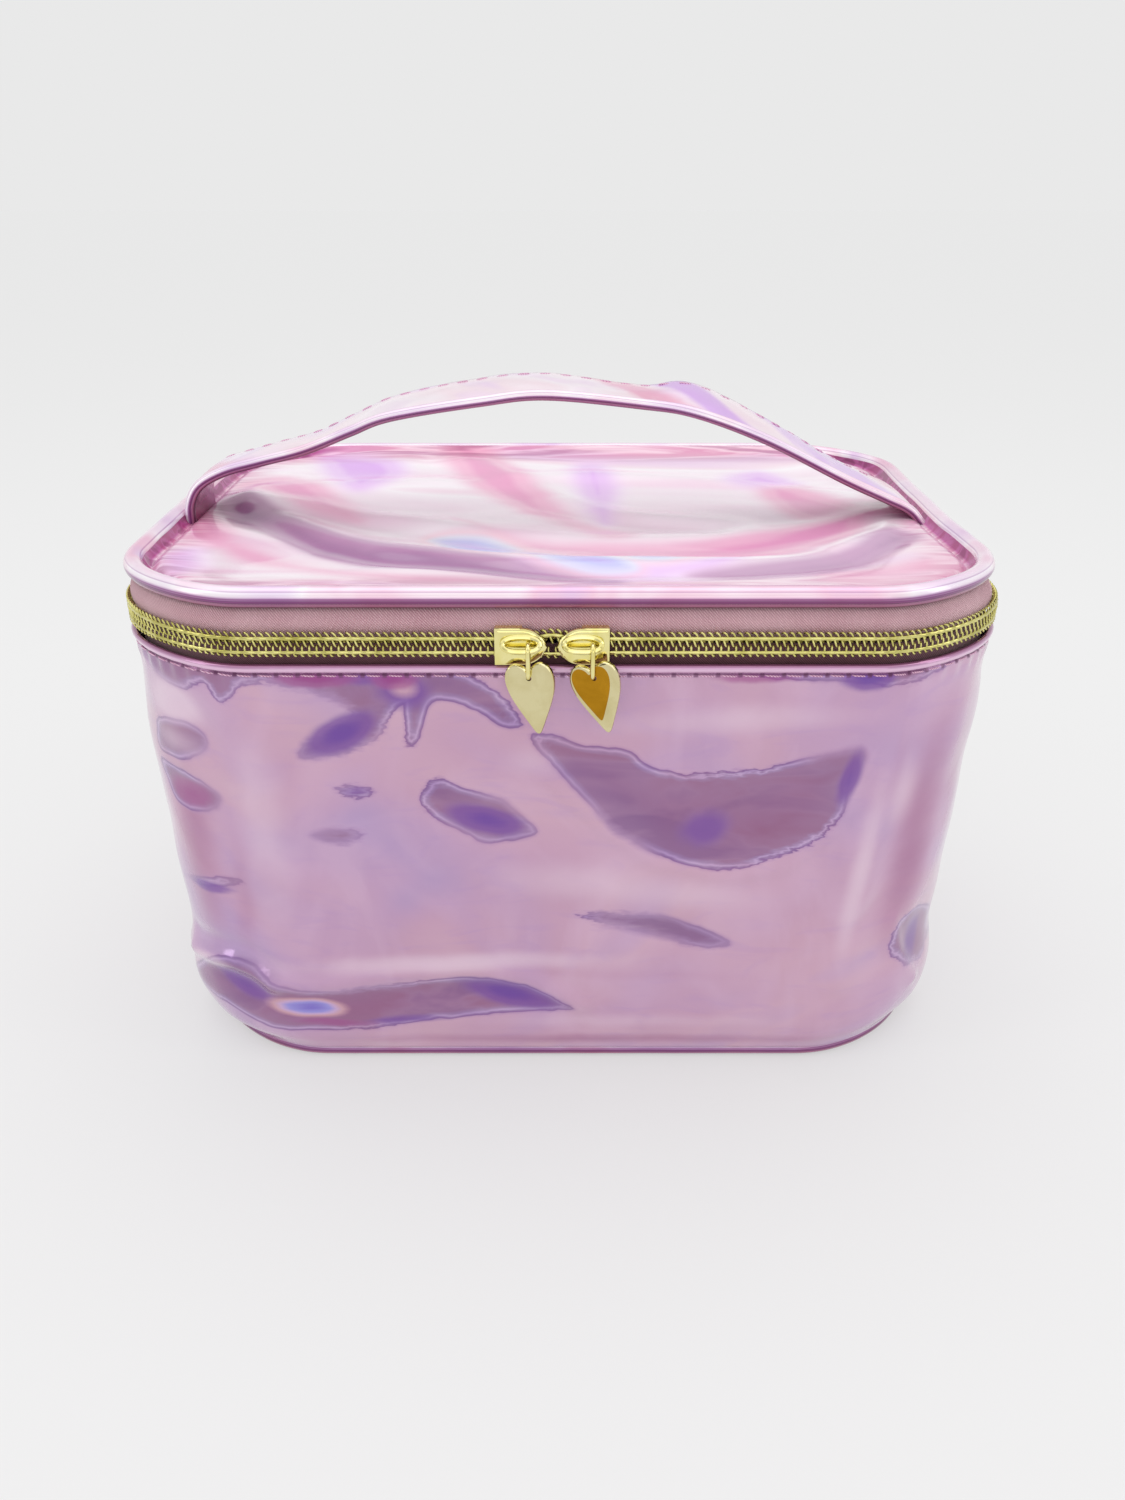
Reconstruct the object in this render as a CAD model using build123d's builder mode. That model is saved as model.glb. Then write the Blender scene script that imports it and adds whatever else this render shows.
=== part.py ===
"""Soft zip-round makeup train case with a top handle, built layer by layer in millimetres.

Frame: the origin is the centre of the base's underside, +Z is up, the front faces -Y and
X runs along the width. Rims and rings are rounded rectangles given by their inset from the
zipper line, the widest outline of the case.
"""

from build123d import *
import math
import os

os.makedirs("parts", exist_ok=True)

# Driving dimensions of the zipper line
CASE_W = 212.4
CASE_D = 151.0
CORNER_R = 34.0
ZIP_Z = 127.0

# Wall outline from the base up to the hem: height, width, depth, corner radius
WALL = (
    (3.15, 204.5, 123.5, 32.0),
    (8.0, 207.4, 127.6, 35.0),
    (16.0, 207.8, 129.6, 36.0),
    (30.0, 205.8, 130.2, 36.0),
    (50.0, 206.4, 133.2, 35.0),
    (75.0, 208.2, 138.8, 34.5),
    (100.0, 209.8, 144.6, 34.0),
    (121.5, 211.2, 149.8, 33.4),
)
HEM_TOP = 121.5
HEM_FOLD = 1.6
HEM_PROUD = 0.5
TAPE_BOTTOM = 112.0

# Layers of the wall, as offsets inward from the outer film
FILM_T = 0.8
FOAM = (0.85, 1.85)
TAPE = (1.9, 2.5)
LINING = (2.55, 3.05)

# Base
BASE_W = 200.5
BASE_D = 119.5
BASE_R = 30.0
BASE_T = 0.8
BOARD_T = 2.0
BASE_PIPING_R = 1.5
BASE_PIPING_Z = 1.6
SKIN_GAP = 0.1

# Zipper
COIL_DEPTH = 2.4
COIL_H = 2.7
COIL_GAP = 0.8
TAPE_GAP = 1.0
TAPE_INSET = 2.5
TAPE_T = 0.6
CHAIN_END_Y = 70.5
STRIP_START_Y = 70.8
HINGE_GAP = 0.15
BODY_BINDING = (3.7, 5.2)
LID_BINDING = (3.2, 4.9)
BODY_BINDING_Z = (119.2, 121.9)
LID_BINDING_Z = (131.7, 133.5)
TAPE_TOP = 134.8

# Lid
LID_PIPING_R = 2.45
LID_PIPING_Z = 137.3
LID_INSET = 5.0
LID_FILM_Z = (136.2, 137.0)
LID_FOAM_Z = (134.1, 136.15)
LID_LINING_Z = (133.55, 134.05)

# Handle
STRAP_W = 18.0
STRAP_END_X = 98.0
STRAP_END_Z = 142.3
STRAP_RISE = 25.7
STRAP_LAYERS = (0.7, 1.2, 0.7)
STRAP_LAYER_GAP = 0.05
STRAP_NECK_W = 10.4
STRAP_NECK_TOP = 149.0
STRAP_PIPING_R = 1.6
STRAP_PIPING_START = 155.5
TAB_X = (99.0, 100.8)
TAB_Z = (137.2, 143.5)

# Stitches
STITCH_PITCH = 5.2
STITCH_L = 3.6
STITCH_T = 0.4
HEM_STITCH_Z = 118.3
HEM_STITCH_LINE = (211.0, 149.1, 33.4)
STRAP_STITCH_INSET = 1.8

# Sliders, rings and heart pulls
MEET_X = -2.3
SLIDER_L = 11.5
SLIDER_H = 8.4
SLIDER_GAP = 2.2
PLATE_T = 1.2
BACK_PLATE_T = 1.0
PLATE_CLEAR = 0.3
NOSE_R = 3.4
FLANGE_T = 0.85
FLANGE_DEPTH = 2.3
FLANGE_L = 8.0
POST_L = 3.0
POST_T = 0.6
BAR_R = 0.85
BAR_L = 8.4
FOOT_R = 0.95
RING_WIRE_R = 0.5
RING_R = 1.5
RING_STRAIGHT = 4.65
RING_CLEAR = 0.15
HEART_T = 1.3
HEART_W = 11.2
HEART_TIP = 15.25
HEART_HOLE_R = 1.0
HEART_TILT = 6.0
RING_X = (-7.5, 6.6)

HALF_COIL_GAP = COIL_GAP / 2
HALF_TAPE_GAP = TAPE_GAP / 2
FRONT_Y = -CASE_D / 2
PLATE_FRONT_Y = FRONT_Y - PLATE_CLEAR - PLATE_T
BACK_PLATE_Y = FRONT_Y + TAPE_INSET + TAPE_T + PLATE_CLEAR
BAR_Y = PLATE_FRONT_Y - RING_CLEAR - RING_WIRE_R - RING_R
RING_LOW_Z = ZIP_Z - RING_STRAIGHT


def rounded(z, width, depth, radius):
    """Rounded rectangle centred on the Z axis at height z."""
    with BuildSketch(Plane.XY.offset(z)) as outline:
        RectangleRounded(width, depth, radius)
    return outline.sketch


def rim_outline(z, inset):
    """The zipper line's outline, moved inward by inset."""
    return rounded(z, CASE_W - 2 * inset, CASE_D - 2 * inset, CORNER_R - inset)


def wall_outlines(offset, top):
    """The wall's outlines from the base to the hem, with a straight run above it up to top."""
    sections = [rounded(z, w - 2 * offset, d - 2 * offset, r - offset) for z, w, d, r in WALL]
    if top > HEM_TOP:
        _, w, d, r = WALL[-1]
        sections.append(rounded(top, w - 2 * offset, d - 2 * offset, r - offset))
    return sections


def wall_shell(outer, inner, bottom, top):
    """Ring of wall between two offsets, cut to the heights bottom and top."""
    with BuildPart() as shell:
        loft(sections=wall_outlines(outer, top), ruled=True)
        loft(sections=wall_outlines(inner, top), ruled=True, mode=Mode.SUBTRACT)
        with Locations((0, 0, (bottom + top) / 2)):
            Box(2 * CASE_W, 2 * CASE_D, top - bottom, mode=Mode.INTERSECT)
    return shell.part


def rim_ring(outer, inner, bottom, top):
    """Upright ring between two insets of the zipper line."""
    with BuildPart() as ring:
        with BuildSketch(Plane.XY.offset(bottom)):
            RectangleRounded(CASE_W - 2 * outer, CASE_D - 2 * outer, CORNER_R - outer)
            RectangleRounded(
                CASE_W - 2 * inner, CASE_D - 2 * inner, CORNER_R - inner, mode=Mode.SUBTRACT
            )
        extrude(amount=top - bottom)
    return ring.part


def piping_ring(width, depth, radius, z, wire_r):
    """Round cord along a rounded rectangle: one half swept, the other mirrored."""
    with BuildPart() as cord:
        with BuildLine(Plane.XY.offset(z)) as path:
            FilletPolyline(
                (0, depth / 2),
                (width / 2, depth / 2),
                (width / 2, -depth / 2),
                (0, -depth / 2),
                radius=radius,
            )
        with BuildSketch(Plane(origin=(0, depth / 2, z), z_dir=(1, 0, 0))):
            Circle(wire_r)
        sweep(path=path.wire())
        mirror(about=Plane.YZ)
    return cord.part


def keep_front_of(y):
    """Block that holds everything with Y below y."""
    with BuildPart() as block:
        with Locations((0, y - CASE_D, ZIP_Z)):
            Box(2 * CASE_W, 2 * CASE_D, 4 * CASE_D)
    return block.part


def keep_behind(y):
    """Block that holds everything with Y above y."""
    with BuildPart() as block:
        with Locations((0, y + CASE_D, ZIP_Z)):
            Box(2 * CASE_W, 2 * CASE_D, 4 * CASE_D)
    return block.part


def save(piece, name):
    """Label a piece and write it as its own STEP file."""
    piece.part.label = name
    export_step(piece.part, f"parts/{name}.step")


# ---------------------------------------------------------------- body

with BuildPart() as wall_film:
    add(wall_shell(0, FILM_T, WALL[0][0], HEM_TOP))
    add(wall_shell(-HEM_PROUD, FILM_T, HEM_TOP - HEM_FOLD, HEM_TOP))
save(wall_film, "wall_film")

with BuildPart() as wall_foam:
    add(wall_shell(FOAM[0], FOAM[1], WALL[0][0], TAPE_BOTTOM - SKIN_GAP))
save(wall_foam, "wall_foam")

with BuildPart() as base_panel:
    with BuildSketch():
        RectangleRounded(BASE_W, BASE_D, BASE_R)
    extrude(amount=BASE_T)
save(base_panel, "base_panel")

with BuildPart() as base_board:
    with BuildSketch(Plane.XY.offset(BASE_T + SKIN_GAP)):
        RectangleRounded(BASE_W - 2 * SKIN_GAP, BASE_D - 2 * SKIN_GAP, BASE_R - SKIN_GAP)
    extrude(amount=BOARD_T)
save(base_board, "base_board")

with BuildPart() as base_piping:
    ring_offset = BASE_PIPING_R + SKIN_GAP
    add(
        piping_ring(
            BASE_W + 2 * ring_offset,
            BASE_D + 2 * ring_offset,
            BASE_R + ring_offset,
            BASE_PIPING_Z,
            BASE_PIPING_R,
        )
    )
save(base_piping, "base_piping")

with BuildPart() as body_lining:
    floor_z, floor_w, floor_d, floor_r = WALL[0]
    lining_inset = 2 * LINING[0]
    add(wall_shell(LINING[0], LINING[1], floor_z, BODY_BINDING_Z[0] - SKIN_GAP))
    with BuildSketch(Plane.XY.offset(floor_z)):
        RectangleRounded(floor_w - lining_inset, floor_d - lining_inset, floor_r - LINING[0])
    extrude(amount=LINING[1] - LINING[0])
save(body_lining, "body_lining")

with BuildPart() as body_binding:
    add(rim_ring(BODY_BINDING[0], BODY_BINDING[1], BODY_BINDING_Z[0], BODY_BINDING_Z[1]))
save(body_binding, "body_binding")

with BuildPart() as lower_zipper_tape:
    add(wall_shell(TAPE[0], TAPE[1], TAPE_BOTTOM, ZIP_Z - HALF_TAPE_GAP))
    add(keep_front_of(CHAIN_END_Y), mode=Mode.INTERSECT)
save(lower_zipper_tape, "lower_zipper_tape")

with BuildPart() as lower_zipper_coil:
    coil_top = ZIP_Z - HALF_COIL_GAP
    add(rim_ring(0, COIL_DEPTH, coil_top - COIL_H, coil_top))
    add(keep_front_of(CHAIN_END_Y), mode=Mode.INTERSECT)
save(lower_zipper_coil, "lower_zipper_coil")

with BuildPart() as hinge_strip_lower:
    add(wall_shell(TAPE[0], TAPE[1], TAPE_BOTTOM, ZIP_Z - HINGE_GAP))
    add(keep_behind(STRIP_START_Y), mode=Mode.INTERSECT)
save(hinge_strip_lower, "hinge_strip_lower")

# Topstitching on the hem: straight runs front, back and sides, and the four corner arcs
hem_w, hem_d, hem_r = HEM_STITCH_LINE
stitch_out = STITCH_T / 2 + SKIN_GAP
run_x = hem_w - 2 * hem_r
run_y = hem_d - 2 * hem_r
corner_count = round(math.pi * hem_r / 2 / STITCH_PITCH)

with BuildPart() as hem_stitches:
    for side in (-1, 1):
        with Locations((0, side * (hem_d / 2 + stitch_out), HEM_STITCH_Z)):
            with GridLocations(STITCH_PITCH, 1, round(run_x / STITCH_PITCH), 1):
                Box(STITCH_L, STITCH_T, STITCH_T)
        with Locations((side * (hem_w / 2 + stitch_out), 0, HEM_STITCH_Z)):
            with GridLocations(1, STITCH_PITCH, 1, round(run_y / STITCH_PITCH)):
                Box(STITCH_T, STITCH_L, STITCH_T)
    for quarter in range(4):
        sign_x = 1 if quarter in (0, 3) else -1
        sign_y = 1 if quarter in (0, 1) else -1
        corner = (sign_x * run_x / 2, sign_y * run_y / 2, HEM_STITCH_Z)
        first = 90 * quarter + 45 / corner_count
        with Locations(corner):
            with PolarLocations(hem_r + stitch_out, corner_count, first, 90):
                Box(STITCH_T, STITCH_L, STITCH_T)
save(hem_stitches, "hem_stitches")

# ---------------------------------------------------------------- lid

with BuildPart() as upper_zipper_tape:
    add(rim_ring(TAPE_INSET, TAPE_INSET + TAPE_T, ZIP_Z + HALF_TAPE_GAP, TAPE_TOP))
    add(keep_front_of(CHAIN_END_Y), mode=Mode.INTERSECT)
save(upper_zipper_tape, "upper_zipper_tape")

with BuildPart() as upper_zipper_coil:
    coil_bottom = ZIP_Z + HALF_COIL_GAP
    add(rim_ring(0, COIL_DEPTH, coil_bottom, coil_bottom + COIL_H))
    add(keep_front_of(CHAIN_END_Y), mode=Mode.INTERSECT)
save(upper_zipper_coil, "upper_zipper_coil")

with BuildPart() as hinge_strip_upper:
    add(rim_ring(TAPE_INSET, TAPE_INSET + TAPE_T, ZIP_Z + HINGE_GAP, TAPE_TOP))
    add(keep_behind(STRIP_START_Y), mode=Mode.INTERSECT)
save(hinge_strip_upper, "hinge_strip_upper")

with BuildPart() as lid_piping:
    add(
        piping_ring(
            CASE_W - 2 * LID_PIPING_R,
            CASE_D - 2 * LID_PIPING_R,
            CORNER_R - LID_PIPING_R,
            LID_PIPING_Z,
            LID_PIPING_R,
        )
    )
save(lid_piping, "lid_piping")

with BuildPart() as lid_film:
    with BuildSketch(Plane.XY.offset(LID_FILM_Z[0])):
        add(rim_outline(0, LID_INSET))
    extrude(amount=LID_FILM_Z[1] - LID_FILM_Z[0])
save(lid_film, "lid_film")

with BuildPart() as lid_foam:
    with BuildSketch(Plane.XY.offset(LID_FOAM_Z[0])):
        add(rim_outline(0, LID_INSET))
    extrude(amount=LID_FOAM_Z[1] - LID_FOAM_Z[0])
save(lid_foam, "lid_foam")

with BuildPart() as lid_lining:
    with BuildSketch(Plane.XY.offset(LID_LINING_Z[0])):
        add(rim_outline(0, LID_INSET))
    extrude(amount=LID_LINING_Z[1] - LID_LINING_Z[0])
save(lid_lining, "lid_lining")

with BuildPart() as lid_binding:
    add(rim_ring(LID_BINDING[0], LID_BINDING[1], LID_BINDING_Z[0], LID_BINDING_Z[1]))
save(lid_binding, "lid_binding")

for side, side_name in ((-1, "left"), (1, "right")):
    tab_centre = side * (TAB_X[0] + TAB_X[1]) / 2
    with BuildPart() as handle_tab:
        with Locations((tab_centre, 0, (TAB_Z[0] + TAB_Z[1]) / 2)):
            Box(TAB_X[1] - TAB_X[0], STRAP_W, TAB_Z[1] - TAB_Z[0])
    save(handle_tab, f"handle_tab_{side_name}")

# ---------------------------------------------------------------- handle

# The strap follows one circular arc through its two ends and the middle of its underside
ARC_R = (STRAP_END_X**2 + STRAP_RISE**2) / (2 * STRAP_RISE)
ARC_CENTRE_Z = STRAP_END_Z + STRAP_RISE - ARC_R


def strap_envelope():
    """Block that trims the strap to its width and narrows it towards the two hinge ends."""
    top = STRAP_END_Z + 2 * STRAP_RISE
    outline = [
        (-STRAP_NECK_W / 2, STRAP_END_Z),
        (STRAP_NECK_W / 2, STRAP_END_Z),
        (STRAP_W / 2, STRAP_NECK_TOP),
        (STRAP_W / 2, top),
        (-STRAP_W / 2, top),
        (-STRAP_W / 2, STRAP_NECK_TOP),
    ]
    with BuildPart() as envelope:
        with BuildSketch(Plane.YZ):
            with BuildLine():
                Polyline(*outline, close=True)
            make_face()
        extrude(amount=STRAP_END_X, both=True)
    return envelope.part


def strap_layer(inner_r, outer_r):
    """One layer of the strap, between two radii of the arc."""
    with BuildPart() as layer:
        with BuildSketch(Plane.XZ.offset(0)):
            with Locations((0, ARC_CENTRE_Z)):
                Circle(outer_r)
                Circle(inner_r, mode=Mode.SUBTRACT)
        extrude(amount=STRAP_W / 2, both=True)
        add(strap_envelope(), mode=Mode.INTERSECT)
    return layer.part


backing_r = ARC_R
core_r = backing_r + STRAP_LAYERS[0] + STRAP_LAYER_GAP
cover_r = core_r + STRAP_LAYERS[1] + STRAP_LAYER_GAP
strap_top_r = cover_r + STRAP_LAYERS[2]

with BuildPart() as handle_backing:
    add(strap_layer(backing_r, backing_r + STRAP_LAYERS[0]))
save(handle_backing, "handle_backing")

with BuildPart() as handle_core:
    add(strap_layer(core_r, core_r + STRAP_LAYERS[1]))
save(handle_core, "handle_core")

with BuildPart() as handle_cover:
    add(strap_layer(cover_r, strap_top_r))
save(handle_cover, "handle_cover")

# Rolled cord along the strap's front edge, as one arc
cord_r = (backing_r + strap_top_r) / 2
cord_angle = math.degrees(math.acos((STRAP_PIPING_START - ARC_CENTRE_Z) / cord_r))
cord_y = -STRAP_W / 2 - STRAP_PIPING_R - SKIN_GAP / 2
CORD_PLANE = Plane(origin=(0, cord_y, ARC_CENTRE_Z), x_dir=(1, 0, 0), z_dir=(0, -1, 0))

with BuildPart() as handle_piping:
    with BuildLine(CORD_PLANE) as cord_path:
        CenterArc((0, 0), cord_r, 90 - cord_angle, 2 * cord_angle)
    with BuildSketch(Plane(origin=cord_path.line @ 0, z_dir=cord_path.line % 0)):
        Circle(STRAP_PIPING_R)
    sweep(path=cord_path.line)
save(handle_piping, "handle_piping")

# Stitches along the strap's back edge
stitch_r = strap_top_r + stitch_out
stitch_step = math.degrees(STITCH_PITCH / stitch_r)
stitch_count = 2 * round(cord_angle / stitch_step) - 1
stitch_y = STRAP_W / 2 - STRAP_STITCH_INSET

with BuildPart() as handle_stitches:
    for index in range(stitch_count):
        turn = (index - (stitch_count - 1) / 2) * stitch_step
        x = stitch_r * math.sin(math.radians(turn))
        z = ARC_CENTRE_Z + stitch_r * math.cos(math.radians(turn))
        with Locations(Location((x, stitch_y, z), (0, turn, 0))):
            Box(STITCH_L, STITCH_T, STITCH_T)
save(handle_stitches, "handle_stitches")

# ---------------------------------------------------------------- sliders, rings and hearts


def front_plane(x, y, z, nose):
    """Upright plane that faces the front, with its local x towards the slider's nose."""
    return Plane(origin=(x, y, z), x_dir=(nose, 0, 0), z_dir=(0, -1, 0))


def slider_outline(height):
    """Plate outline: a rounded nose at +x and a nearly square tail."""
    with BuildSketch() as outline:
        Rectangle(SLIDER_L, height)
        fillet(outline.vertices().group_by(Axis.X)[-1], NOSE_R)
        fillet(outline.vertices().group_by(Axis.X)[0], NOSE_R / 4)
    return outline.sketch


def make_slider(centre_x, nose):
    """Front and back plates joined by the post between the two coils, flanges and pull bridge."""
    with BuildPart() as slider:
        with BuildSketch(front_plane(centre_x, PLATE_FRONT_Y + PLATE_T, ZIP_Z, nose)):
            add(slider_outline(SLIDER_H))
        extrude(amount=PLATE_T)
        fillet(slider.faces().sort_by(Axis.Y)[0].edges(), PLATE_T / 3)
        with BuildSketch(front_plane(centre_x, BACK_PLATE_Y + BACK_PLATE_T, ZIP_Z, nose)):
            add(slider_outline(SLIDER_H))
        extrude(amount=BACK_PLATE_T)
        flange_x = (FLANGE_L - SLIDER_L) / 2 + NOSE_R / 4
        flange_z = (SLIDER_H - FLANGE_T) / 2
        with BuildSketch(front_plane(centre_x, PLATE_FRONT_Y + PLATE_T, ZIP_Z, nose)):
            with Locations((flange_x, flange_z), (flange_x, -flange_z)):
                Rectangle(FLANGE_L, FLANGE_T)
        extrude(amount=-FLANGE_DEPTH)
        post_x = (SLIDER_L - POST_L) / 2 - 1
        with BuildSketch(front_plane(centre_x, BACK_PLATE_Y, ZIP_Z, nose)):
            with Locations((post_x, 0)):
                Rectangle(POST_L, POST_T)
        extrude(amount=BACK_PLATE_Y - PLATE_FRONT_Y - PLATE_T)
        with BuildSketch(front_plane(centre_x, PLATE_FRONT_Y, ZIP_Z, nose)):
            with Locations((-BAR_L / 2, 0), (BAR_L / 2, 0)):
                Circle(FOOT_R)
        extrude(amount=PLATE_FRONT_Y - BAR_Y)
        with BuildSketch(Plane(origin=(centre_x, BAR_Y, ZIP_Z), z_dir=(1, 0, 0))):
            Circle(BAR_R)
        extrude(amount=BAR_L / 2, both=True)
        with Locations(
            (centre_x - BAR_L / 2, BAR_Y, ZIP_Z),
            (centre_x + BAR_L / 2, BAR_Y, ZIP_Z),
        ):
            Sphere(FOOT_R)
    return slider


def make_ring(x):
    """Oval jump ring hanging on the bridge, in the upright plane across the zipper."""
    with BuildPart() as ring:
        with BuildLine(Plane(origin=(x, BAR_Y, ZIP_Z), x_dir=(0, 1, 0), z_dir=(1, 0, 0))) as path:
            Line((RING_R, -RING_STRAIGHT), (RING_R, 0))
            CenterArc((0, 0), RING_R, 0, 180)
            Line((-RING_R, 0), (-RING_R, -RING_STRAIGHT))
            CenterArc((0, -RING_STRAIGHT), RING_R, 180, 180)
        with BuildSketch(Plane(origin=(x, BAR_Y + RING_R, ZIP_Z - RING_STRAIGHT / 2))):
            Circle(RING_WIRE_R)
        sweep(path=path.wire())
    return ring


def make_heart(x):
    """Flat pull shaped as a tall heart, hung by a hole below its notch and slightly turned."""
    tilt = math.radians(HEART_TILT)
    face = Plane(
        origin=(x, BAR_Y + HEART_T / 2, RING_LOW_Z),
        x_dir=(math.cos(tilt), 0, math.sin(tilt)),
        z_dir=(0, -1, 0),
    )
    half = HEART_W / 2
    with BuildPart() as heart:
        with BuildSketch(face):
            with BuildLine():
                lobe = ThreePointArc((0, 0.5), (0.52 * half, 1.65), (half, -2.3))
                Spline(
                    lobe @ 1,
                    (0.66 * half, -0.57 * HEART_TIP),
                    (0, -HEART_TIP),
                    tangents=((0, -1), (-0.62, -1)),
                )
                mirror(about=Plane.YZ)
            make_face()
            with Locations((0, -RING_R)):
                Circle(HEART_HOLE_R, mode=Mode.SUBTRACT)
        extrude(amount=HEART_T)
    return heart


left_centre = MEET_X - SLIDER_GAP / 2 - SLIDER_L / 2
right_centre = MEET_X + SLIDER_GAP / 2 + SLIDER_L / 2

for name, centre_x, nose, ring_x in (
    ("left", left_centre, 1, RING_X[0]),
    ("right", right_centre, -1, RING_X[1]),
):
    save(make_slider(centre_x, nose), f"{name}_slider")
    save(make_ring(ring_x), f"{name}_ring")
    save(make_heart(ring_x), f"{name}_heart")
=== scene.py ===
"""Looks of the soft makeup train case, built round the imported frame.

All shapes are worked out in millimetres in the frame's own axes and turned into metres when a
mesh is made. Rings round the rim are described by an inset from the zipper line and a height.
"""

import math
import random

import bmesh
import bpy
import numpy as np
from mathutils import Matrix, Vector, noise


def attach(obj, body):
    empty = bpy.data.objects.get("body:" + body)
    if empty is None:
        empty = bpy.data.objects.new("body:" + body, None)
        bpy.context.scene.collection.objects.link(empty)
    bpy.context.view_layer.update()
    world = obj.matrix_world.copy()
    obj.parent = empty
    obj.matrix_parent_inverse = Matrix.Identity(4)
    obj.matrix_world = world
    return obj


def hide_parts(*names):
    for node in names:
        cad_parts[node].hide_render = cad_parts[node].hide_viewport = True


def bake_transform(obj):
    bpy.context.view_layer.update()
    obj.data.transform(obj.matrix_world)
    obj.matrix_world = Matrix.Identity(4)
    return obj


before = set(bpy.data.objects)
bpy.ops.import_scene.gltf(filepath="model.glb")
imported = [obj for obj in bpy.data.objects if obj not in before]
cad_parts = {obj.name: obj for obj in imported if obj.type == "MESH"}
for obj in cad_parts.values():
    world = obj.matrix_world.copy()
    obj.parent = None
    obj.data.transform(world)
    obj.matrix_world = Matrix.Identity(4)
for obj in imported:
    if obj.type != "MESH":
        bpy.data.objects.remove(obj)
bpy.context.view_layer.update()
MM = 0.001

# ---------------------------------------------------------------- sizes, in millimetres

CASE_W, CASE_D, CORNER_R = 212.4, 151.0, 34.0
ZIP_Z = 127.0
# Stations of the wall: height, width, depth, corner radius
WALL = np.array((
    (3.15, 203.6, 122.0, 37.0), (8.0, 208.8, 127.2, 37.5), (16.0, 210.0, 129.6, 37.5),
    (30.0, 207.4, 130.2, 37.0), (50.0, 207.0, 133.2, 35.5), (75.0, 208.4, 138.8, 34.5),
    (100.0, 209.8, 144.6, 34.0), (121.5, 211.2, 149.8, 33.4), (140.0, 211.2, 149.8, 33.4),
))
WALL_FOOT, WALL_TOP = WALL[0, 0], WALL[-1, 0]
HEM_RIM_TOP = 122.0
TAPE_BOTTOM = 112.0
TAPE_THICK = 0.55
CHAIN_END_Y = 70.5
PIPING_R = 2.45
PIPING_Z = 137.3
COIL_PITCH = 1.66
STITCH_PITCH = 5.2
MEET_X = -2.3
SLIDER_L, SLIDER_GAP = 11.5, 2.2
BAR_Y = -79.15
RING_X = (-7.5, 6.6)
RING_LOW_Z = 122.35
RING_R = 1.5

# How far in from the wall's face each layer of the wall starts and ends
FILM_BACK = 0.75
FOAM_FACE, FOAM_BACK = 0.85, 1.85
LINING_FACE, LINING_BACK = 2.55, 3.05
# Lowest and highest face of each layer of the base and of the lid
BASE_W, BASE_D, BASE_R = 199.4, 117.8, 36.0
BASE_LAYERS = {"film": (0.0, 0.8), "board": (0.9, 2.8), "lining": (3.1, 3.6)}
LID_LAYERS = {"film": (136.6, 137.3), "foam": (135.0, 136.2), "lining": (133.9, 134.3)}
STITCH_LENGTH = 3.9
HEM_THREAD, STRAP_THREAD = 0.42, 0.5

CORNER_GIVE = 3.0
LEFT_LEAN, RIGHT_LEAN = 1.2, 4.5
PAPER = 0.815
FLOOR_ALBEDO = 0.35
FLOOR_GLOW = 0.476
FLOOR_DROP = 0.0002
CAMERA_AT = (0.0, -0.3223, 0.2229)
CAMERA_DOWN = 26.23
SENSOR, LENS = 36.0, 28.8


def srgb(code):
    """Linear colour of a hex code."""
    channels = [int(code[i : i + 2], 16) / 255 for i in (1, 3, 5)]
    return tuple(c / 12.92 if c <= 0.04045 else ((c + 0.055) / 1.055) ** 2.4 for c in channels)


# ---------------------------------------------------------------- camera, light and floor


def make_camera():
    data = bpy.data.cameras.new("camera")
    data.sensor_width = SENSOR
    data.lens = LENS
    data.clip_start = 0.01
    camera = bpy.data.objects.new("camera", data)
    camera.location = CAMERA_AT
    camera.rotation_euler = (math.radians(90 - CAMERA_DOWN), 0.0, 0.0)
    bpy.context.scene.collection.objects.link(camera)
    bpy.context.scene.camera = camera


def area_light(name, place, target, size, power, colour=(1.0, 1.0, 1.0)):
    data = bpy.data.lights.new(name, "AREA")
    data.shape = "RECTANGLE"
    data.size, data.size_y = size
    data.energy = power
    data.color = colour
    light = bpy.data.objects.new(name, data)
    light.location = place
    aim = Vector(target) - Vector(place)
    light.rotation_euler = aim.to_track_quat("-Z", "Y").to_euler()
    bpy.context.scene.collection.objects.link(light)


def make_world():
    """Studio surroundings: pale at the horizon, darker walls, bright ceiling."""
    world = bpy.data.worlds.new("studio")
    world.use_nodes = True
    tree = world.node_tree
    place = tree.nodes.new("ShaderNodeTexCoord")
    split = tree.nodes.new("ShaderNodeSeparateXYZ")
    tree.links.new(place.outputs["Generated"], split.inputs["Vector"])
    ramp = tree.nodes.new("ShaderNodeValToRGB")
    tree.links.new(split.outputs["Z"], ramp.inputs["Fac"])
    stops = ((0.0, PAPER), (0.20, PAPER), (0.30, 0.66), (0.50, 0.66), (0.66, 1.0), (1.0, 1.2))
    while len(ramp.color_ramp.elements) < len(stops):
        ramp.color_ramp.elements.new(0.5)
    for element, (position, value) in zip(ramp.color_ramp.elements, stops):
        element.position = position
        element.color = (value, value, value, 1.0)
    tree.links.new(ramp.outputs["Color"], tree.nodes["Background"].inputs["Color"])
    bpy.context.scene.world = world


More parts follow.
